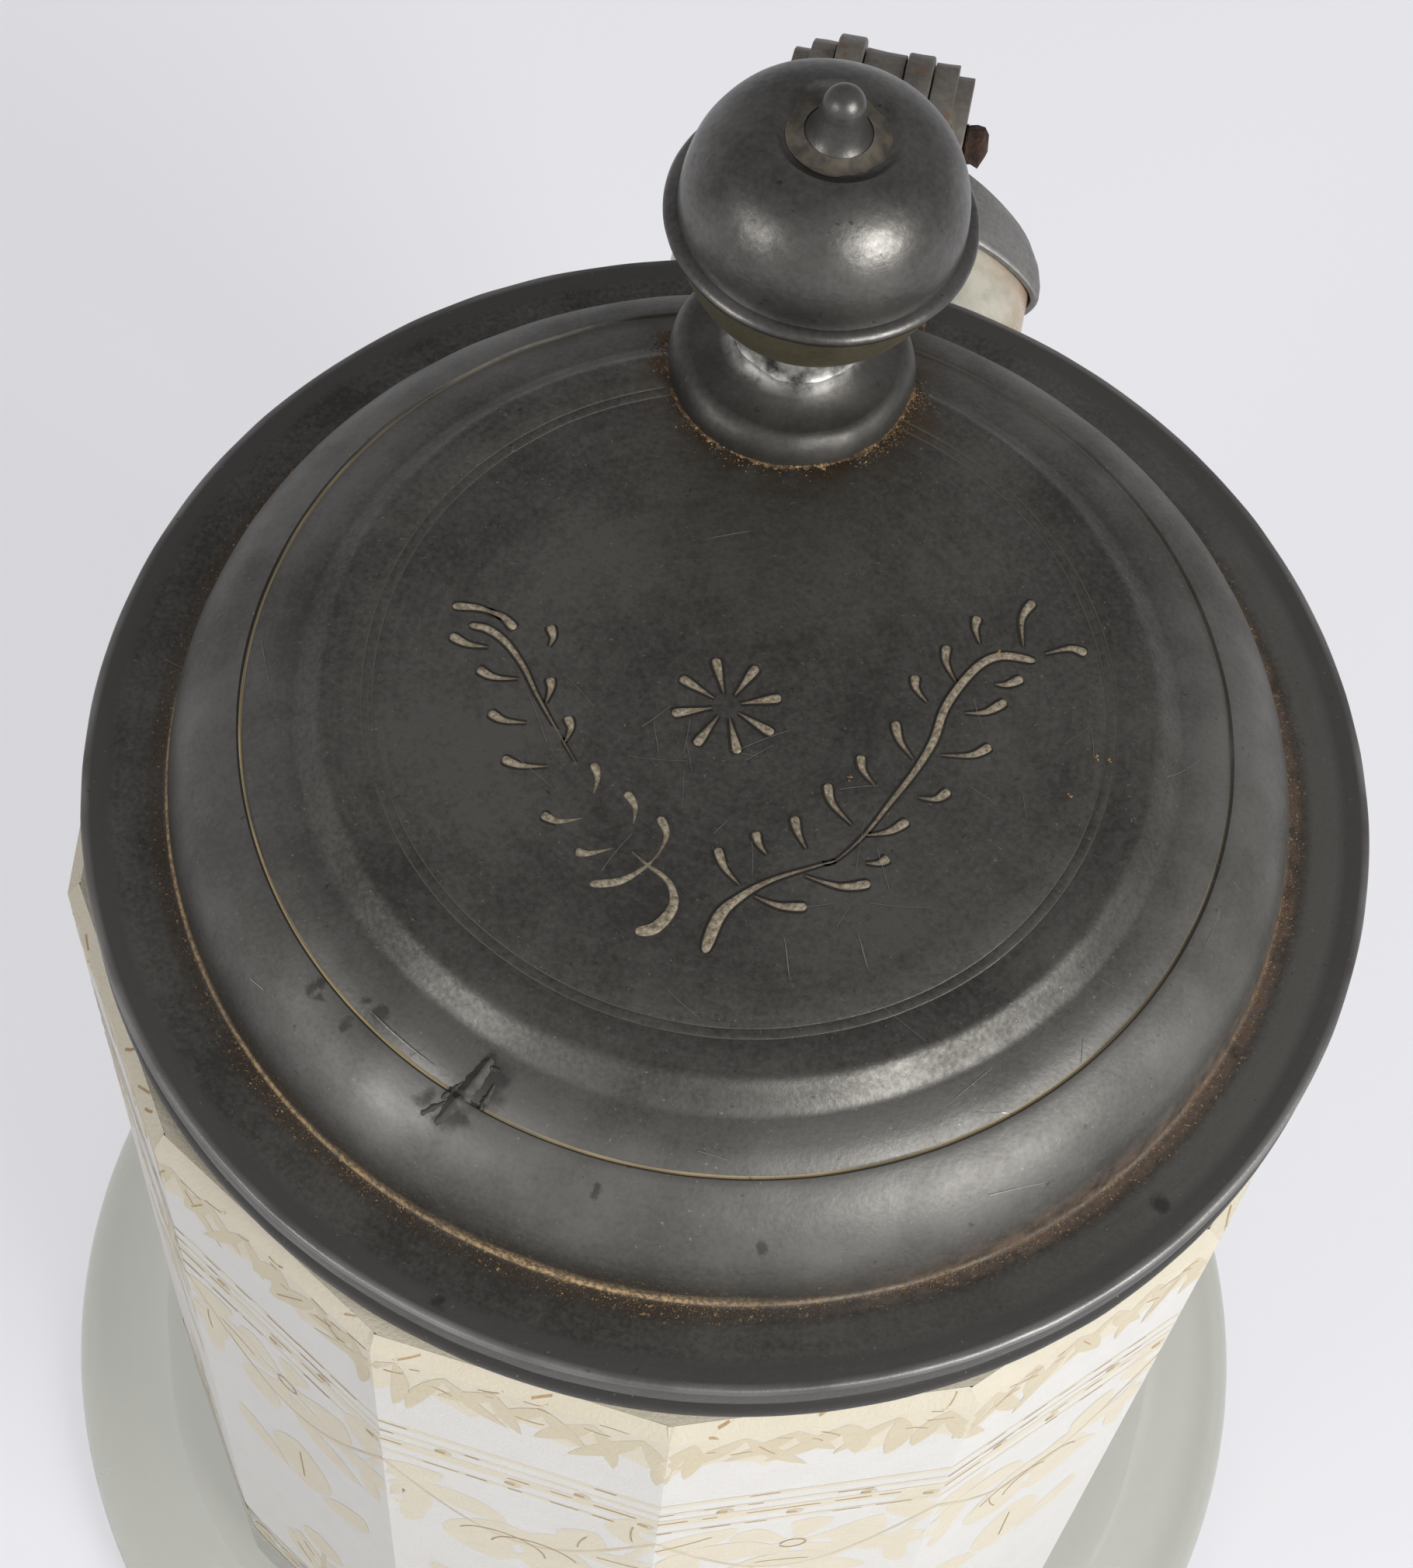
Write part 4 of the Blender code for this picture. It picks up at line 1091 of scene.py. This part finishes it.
# Left branch: its curled foot, its stem, and its leaves from the top down
tear(1.55, (-5.8, -16.5), (-4.5, -17.3), (-2.4, -18.5), (-1.6, -20.5), (-2.6, -22.7), (-4.1, -23.4))
stem = [(-11.7, -9.8), (-14.1, -6.9), (-16.4, -4.0), (-18.1, -1.6), (-20.0, 0.3), (-21.8, 1.2), (-23.3, 1.2)]
tear(0.95, *stem)
tear(1.0, (-19.8, 2.2), (-22.6, 3.0), (-25.1, 2.7))
tear(1.1, (-22.6, 3.0), (-20.9, 2.7), (-19.5, 1.7))
for leaf in (
    [(-21.3, -0.5), (-23.0, -0.6), (-24.6, -0.1)],
    [(-18.2, -2.9), (-20.2, -3.2), (-21.7, -2.7)],
    [(-16.6, -6.8), (-18.5, -7.0), (-19.8, -6.5)],
    [(-14.1, -10.4), (-16.2, -10.8), (-17.8, -10.5)],
    [(-10.3, -14.4), (-12.1, -15.1), (-13.6, -14.8)],
    [(-7.3, -16.5), (-9.1, -17.4), (-10.2, -17.5)],
    [(-3.6, -15.9), (-4.4, -17.5), (-6.2, -19.3), (-8.5, -20.1)],
    [(-16.4, 0.7), (-16.3, 1.7), (-16.8, 2.7)],
    [(-15.5, -4.6), (-15.4, -3.2), (-15.7, -2.2)],
    [(-13.2, -7.9), (-13.0, -6.5), (-13.5, -5.5)],
    [(-9.9, -12.2), (-9.9, -10.5), (-10.5, -9.3)],
    [(-6.2, -14.1), (-6.4, -12.4), (-7.4, -11.3)],
    [(-3.8, -16.7), (-3.4, -14.4), (-4.3, -12.9)],
):
    tear(LEAF_WIDTH, *leaf)

# Right branch: its foot, its stem, and its leaves from the foot up
tear(1.5, (10.3, -13.6), (5.7, -16.4), (3.3, -18.7), (2.1, -20.7), (1.6, -24.0))
stem = through([
    (9.3, -14.1), (10.3, -13.6), (12.1, -10.9), (13.7, -7.4), (15.2, -4.0), (16.2, -0.9),
    (16.6, 2.2), (17.6, 5.0), (19.0, 7.4), (20.7, 8.5), (23.3, 8.6),
])
swelling = np.clip(np.linspace(-0.1, 2.0, len(stem)), 0.12, 1.0)
grave(stem, 0.36 * swelling * np.sqrt(np.clip(1.04 - np.linspace(0, 1, len(stem)) ** 40, 0, 1)))
for leaf in (
    [(4.5, -18.2), (6.6, -18.6), (8.8, -18.2)],
    [(8.1, -15.5), (11.1, -15.8), (13.4, -15.0)],
    [(12.7, -13.3), (13.8, -13.0), (14.4, -12.4)],
    [(12.3, -10.8), (14.1, -10.0), (15.4, -8.7)],
    [(15.8, -6.4), (17.3, -6.2), (18.2, -5.2)],
    [(17.0, -2.1), (19.5, -1.5), (20.9, -0.3)],
    [(18.3, 2.3), (20.0, 2.8), (21.5, 4.2)],
    [(20.3, 5.6), (21.3, 5.8), (22.5, 6.7)],
    [(24.0, 9.5), (26.0, 10.5), (27.4, 10.3)],
    [(3.2, -17.5), (1.7, -16.2), (0.8, -14.6)],
    [(4.8, -14.3), (4.0, -13.5), (3.5, -12.5)],
    [(7.8, -13.1), (6.9, -11.8), (6.3, -10.4)],
    [(11.0, -10.1), (9.1, -8.5), (8.4, -6.8)],
    [(12.2, -6.1), (11.0, -4.9), (10.6, -3.6)],
    [(14.9, -3.0), (13.5, -1.5), (12.8, 0.2)],
    [(15.1, 2.6), (14.0, 3.7), (13.7, 4.9)],
    [(17.1, 5.1), (16.0, 6.8), (15.8, 8.4)],
    [(18.5, 9.2), (17.9, 10.6), (17.9, 11.8)],
    [(22.1, 9.8), (21.6, 12.5), (22.3, 14.4)],
):
    tear(LEAF_WIDTH, *leaf)

# Plain rosette between the branches
rosette_middle = np.array((-1.0, -1.5))
for petal in range(8):
    angle = math.radians(petal * 45 + 22.5)
    way = np.array([math.cos(angle), math.sin(angle)])
    tear(1.15, *[rosette_middle + reach * way for reach in (1.2, 2.9, 4.6)])

# Grey-cream polish dried in the cuts, crumbly at 0.4 mm, over pewter; it goes browner low at each cut's
# edges, partly where it is thin and partly as painted shade
half_metal = {"Metallic": 0.25, "Roughness": 0.6}
dried_polish, tree, shader, coord, crumble = surface("dried_polish_in_cuts", half_metal, (0.4167, 4, 0.6))
height = add(tree, "SeparateXYZ", [coord], "Z")
polish = layered(
    tree,
    "#63594a",
    (add(tree, "MapRange", [crumble, 0.36, 0.64]), "#a0957f"),
    # Painted shade, and thinner polish, darken each cut low at its edges
    (add(tree, "MapRange", [height, (PLATE_Z + 0.14) * MM, (PLATE_Z + 0.03) * MM]), "#4d4133"),
)
feed(tree, shader, {
    "Base Color": polish,
    "Normal": add(tree, "Bump", {"Strength": 0.6, "Distance": 0.2 * MM, "Height": crumble}),
})
piece("graved_sprigs", *gather(cuts), dried_polish, "lid", "old_pewter")
# Dark outlines laid on the plate round the cuts: painted shade along their edges
painted_cut_shade = pewter("painted_shade_pewter", "#2f2d2a", "#403d38", 0.5, 0.65, "#3a3026", 0.04)
piece("cut_edges_painted_shade", *gather(edges), painted_cut_shade, "lid", "old_pewter")

# Fine scratches on the lid, bright where the tarnish is cut through
scratches = []
for _ in range(44):
    angle, r = hand.uniform(-math.pi, 0.2), hand.choice([hand.uniform(3, 30), hand.uniform(37, 46)])
    spot = (r * math.cos(angle), r * math.sin(angle))
    path = bend(spot, hand.uniform(0, 360), hand.uniform(1.5, 5), hand.uniform(-12, 12), 14)
    halves = np.full(14, hand.uniform(0.012, 0.03))
    scratches.append(ribbon(path, halves, FLAT_ROWS, lambda x, y, _: on_lid(x, y, 0.07)))
for start, end in (
    ((13.0, -19.4), (14.7, -22.8)),
    ((7.4, -21.0), (8.8, -25.2)),
    ((-6.0, 14.0), (-1.5, 16.2)),
    ((8.0, 20.5), (10.5, 17.4)),
):
    start, end = np.array(start), np.array(end)
    path = bezier([start, start * 0.66 + end * 0.34 + 0.12, start * 0.34 + end * 0.66 - 0.1, end], 14)
    halves = 0.05 * np.sin(np.linspace(0.1, 3.0, 14))
    scratches.append(ribbon(path, halves, FLAT_ROWS, lambda x, y, _: (x, y, PLATE_Z + EDGE_LIFT)))
piece("lid_scratches", *gather(scratches), scratched, "lid", "old_pewter")

# Thumb-piece: a turned foot with a waist, soldered on the lid's edge, and a hollow ball of two halves on it.
# Thumbs have kept its top brighter than the lid; its underside is brown with handling.

THUMB_LEAN = math.radians(2.3)
BALL_LIFT = 20.6
BALL_RADIUS = 12.0
FOOT_BOTTOM = -29
TRIM_LIFT = 0.02
thumb_place = (
    Matrix.Translation((*THUMB, PLATE_Z))
    @ Matrix.Rotation(THUMB_LEAN, 4, "Y")
    @ Matrix.Translation((0, 0, BALL_LIFT))
)


def placed(points):
    return [tuple(thumb_place @ Vector(p)) for p in points]


# Handled pewter, beaten uneven at the neck and lighter there in patches of 2.4 mm, partly rubbed metal and
# partly a painted highlight where the ball shades the neck
foot_pewter = pewter("handled_pewter", "#3c3a37", "#575551", 0.42, 0.56, "#4c3d2c", 0.02, 0.75)
tree = foot_pewter.node_tree
shader = tree.nodes["Principled BSDF"]
coord = add(tree, "TexCoord", [], "Object")
height = add(tree, "SeparateXYZ", [coord], "Z")
beats = add(tree, "TexNoise", {"Vector": coord, "Scale": 1 / (2.381 * MM), "Detail": 4, "Roughness": 0.6})
neck_painted_highlight = add(tree, "MapRange", [height, 159 * MM, 160.5 * MM])
bright = add(tree, "MapRange", [beats, 0.38, 0.58])
plain = shader.inputs["Base Color"].links[0].from_socket
# The neck's pale patches are rubbed metal and a painted highlight
feed(tree, shader, {"Base Color": layered(tree, plain, (neck_painted_highlight, bright, "#b6b4af"))})
foot_profile = [
    (0, -11.4),
    (6.0, -11.4),
    (6.2, -11.7),
    *arc((6.2, -13.6), (0.75, 1.8), 115, 245, 16),
    *arc((9.4, -14.9), (3.9, 2.8), 190, 268, 14),
    *arc((9.08, -20.6), (1.82, 2.9), 85, 0, 14),
    (THUMB_FOOT_RADIUS, -21.5),
    (THUMB_FOOT_RADIUS, FOOT_BOTTOM),
    (0, FOOT_BOTTOM),
]
points, faces = turned(foot_profile, 160)
smooth = dent(points, 0.14, 3.2, 4.0)
beaten = dent(smooth, 0.2, 1.5, 1.0)
points = [b if -16.2 < p[2] < -12.0 else s for p, b, s in zip(points, beaten, smooth)]
foot = piece("thumb_foot_turning", placed(points), faces, foot_pewter, "lid", "worn_pewter", "thumb_foot")
# The foot is cut to the lid's steps
lid_room = [
    (0, PLATE_Z + TRIM_LIFT),
    (34.2, PLATE_Z + TRIM_LIFT),
    *[(r, z + TRIM_LIFT) for r, z in step_down],
    (40.8, 151.92),
    *[(r, z + TRIM_LIFT) for r, z in shoulder],
    (48.05, 141.95),
    (0, 141.95),
]
trim(foot, *turned(lid_room, 144))

bowl_pewter = pewter("brown_handled_pewter", "#57523f", "#7d7660", 0.4, 0.56, "#5c4a30", 0.06)
bowl_profile = [
    (0, -3.0),
    (9.5, -1.05),
    *arc((0, 0), (BALL_RADIUS, 12.96), -4.7, -58.9, 24),
    (0, -11.1),
]
points, faces = turned(bowl_profile, 144)
points = placed(dent(points, 0.05, 5, 6.0))
piece("ball_lower_half", points, faces, bowl_pewter, "lid", "worn_pewter", "thumb_bowl")


def swell(start, end, count):
    """The upper half's outline, fuller than an ellipse, between two angles in degrees."""
    steps = np.radians(np.linspace(start, end, count))
    return [(BALL_RADIUS * math.cos(a) ** 0.769, 11.2 * math.sin(a) ** 0.769) for a in steps]


cap_profile = [
    (0, 10.15),
    (2.9, 10.15),
    (3.05, 10.32),
    (3.3, 10.34),
    (3.5, 10.2),
    (3.9, 10.14),
    (4.4, 10.2),
    (4.75, 10.36),
    (5.0, 10.55),
    *swell(70, 4.5, 44),
    (12.05, 0.85),
    *arc((BALL_RADIUS, 0), (1.1, 0.75), 85, -90, 14),
    (9.6, -0.75),
    (0, 2.0),
]
points, faces = turned(cap_profile, 176)
points = placed(dent(dent(points, 0.06, 6, 8.0), 0.02, 1.8, 2.0))
cap_pewter = pewter("worn_ball_pewter", "#474542", "#6b6965", 0.3, 0.44, "#4c4338", -0.02, 0.85)
piece("ball_upper_half", points, faces, cap_pewter, "lid", "worn_pewter", "thumb_cap")

# Brown film of dirt in the turned ring round the tip, blotched at 1.1 mm
points = []
for number in range(96):
    angle = 2 * math.pi * number / 96
    wide = 0.25 * noise.noise(Vector((2.5 * math.cos(angle), 2.5 * math.sin(angle), 3)))
    reach = [2.8, 3.25, 4.0 + wide, 4.3 + 1.5 * wide]
    ring_radii = [2.8, 3.25, 3.5, 3.9, 4.4, 4.75, 5.0]
    heights = np.interp(reach, ring_radii, [10.66, 10.42, 10.26, 10.17, 10.23, 10.39, 10.58])
    points += [(r * math.cos(angle), r * math.sin(angle), z) for r, z in zip(reach, heights)]
corners = [4 * i + j for i in range(96) for j in range(3)]
faces = [(a, a + 1, (a + 5) % len(points), (a + 4) % len(points)) for a in corners]
filmed_metal = {"Metallic": 0.3, "Roughness": 0.6}
brown_dirt, tree, shader, _, blots = surface("brown_dirt_film", filmed_metal, (1.111, 4, 0.6))
blotch = add(tree, "MapRange", [blots, 0.35, 0.65])
feed(tree, shader, {"Base Color": layered(tree, "#3d3a34", (blotch, "#5d5548"))})
piece("tip_dirt_ring", placed(points), faces, brown_dirt, "lid", "worn_pewter", crease=60)

tip_profile = [
    *arc((0, 13.73), (1.76, 1.76), 90, 8, 12),
    (1.8, 13.3),
    (1.9, 12.7),
    (2.07, 12.0),
    (2.32, 11.3),
    (2.6, 10.8),
    (2.8, 10.55),
    (2.9, 10.4),
    (2.92, 10.25),
    (0, 10.25),
]
points, faces = turned(tip_profile, 96)
tip_pewter = pewter("polished_pewter_tip", "#4e4c49", "#686662", 0.3, 0.42, "#4c4338", -0.05)
piece("ball_tip", placed(points), faces, tip_pewter, "lid", "worn_pewter", "thumb_tip", crease=60)

# Table: a plain white sheet under soft light, seen as in the photograph, from above the lid's front edge.

TABLE_HALF = 3
TABLE_Z = -0.0002
floor_mesh = bpy.data.meshes.new("table")
floor_corners = [(x * TABLE_HALF, y * TABLE_HALF, TABLE_Z) for x, y in ((-1, -1), (1, -1), (1, 1), (-1, 1))]
floor_mesh.from_pydata(floor_corners, [], [(0, 1, 2, 3)])
floor = bpy.data.objects.new("table", floor_mesh)
bpy.context.scene.collection.objects.link(floor)
# White card that looks evenly lit to the eye and through the glass, and keeps part of the shadows on it
white_card, tree, shader, _ = surface("white_card", {"Roughness": 0.9, "Base Color": "#e9e9ec"})
seen = add(tree, "LightPath", []).node.outputs
through_glass = [seen["Is Transmission Ray"], seen["Is Glossy Ray"]]
reflected = add(tree, "Math", through_glass, operation="MAXIMUM")
direct = add(tree, "Math", [seen["Is Camera Ray"], reflected], operation="MAXIMUM")
even_share = add(tree, "Math", [direct, 0.65], operation="MULTIPLY")
even = add(tree, "Emission", {"Color": "#e8e8ec", "Strength": 1.0})
shown = add(tree, "MixShader", [even_share, shader.outputs[0], even])
feed(tree, tree.nodes["Material Output"], {"Surface": shown})
floor_mesh.materials.append(white_card)

# Studio light: a white sky, brightest low at the front left, and two softboxes
world = bpy.data.worlds.new("studio")
bpy.context.scene.world = world
world.use_nodes = True
tree = world.node_tree
way_x, way_y, way_z = add(tree, "SeparateXYZ", [add(tree, "TexCoord", [], "Generated")]).node.outputs
share_x = add(tree, "Math", [way_x, 0.5], operation="MULTIPLY")
share_y = add(tree, "Math", [way_y, 0.85], operation="MULTIPLY")
facing = add(tree, "Math", [share_x, share_y], operation="ADD")
low = layered(tree, "#b2b2b6", (add(tree, "MapRange", [facing, 0.6, -0.6]), "#ececee"))
sky = layered(tree, low, (add(tree, "MapRange", [way_z, 0.0, 0.9]), "#adadb1"))
feed(tree, tree.nodes["Background"], {"Color": sky, "Strength": 0.9})

LID_MIDDLE = Vector((0, 0, 0.15))


def softbox(name, azimuth, elevation, distance, size, watts):
    """A square area lamp that faces the lid, at an azimuth from the front to the right, in degrees."""
    a, e = math.radians(azimuth), math.radians(elevation)
    way = Vector((math.sin(a) * math.cos(e), -math.cos(a) * math.cos(e), math.sin(e)))
    lamp = bpy.data.lights.new(name, "AREA")
    lamp.size = size
    lamp.energy = watts
    thing = bpy.data.objects.new(name, lamp)
    turned_to = way.to_track_quat("Z", "Y").to_matrix().to_4x4()
    thing.matrix_world = Matrix.Translation(LID_MIDDLE + way * distance) @ turned_to
    bpy.context.scene.collection.objects.link(thing)


softbox("left_softbox", -45, 22, 0.9, 0.32, 2.3)
softbox("right_softbox", 55, 28, 0.9, 0.45, 9.2)

camera = bpy.data.objects.new("camera", bpy.data.cameras.new("camera"))
camera.data.sensor_width = 36
camera.data.lens = 73.386
camera.data.clip_start = 0.01
camera.matrix_world = Matrix((
    (0.97916222, -0.19818074, 0.04433675, 0.0103084),
    (0.19471372, 0.85415978, -0.48218009, -0.13396965),
    (0.05768813, 0.4807655, 0.87494949, 0.3818393),
    (0, 0, 0, 1),
))
bpy.context.scene.collection.objects.link(camera)
bpy.context.scene.camera = camera
bpy.context.scene.view_settings.view_transform = "Standard"
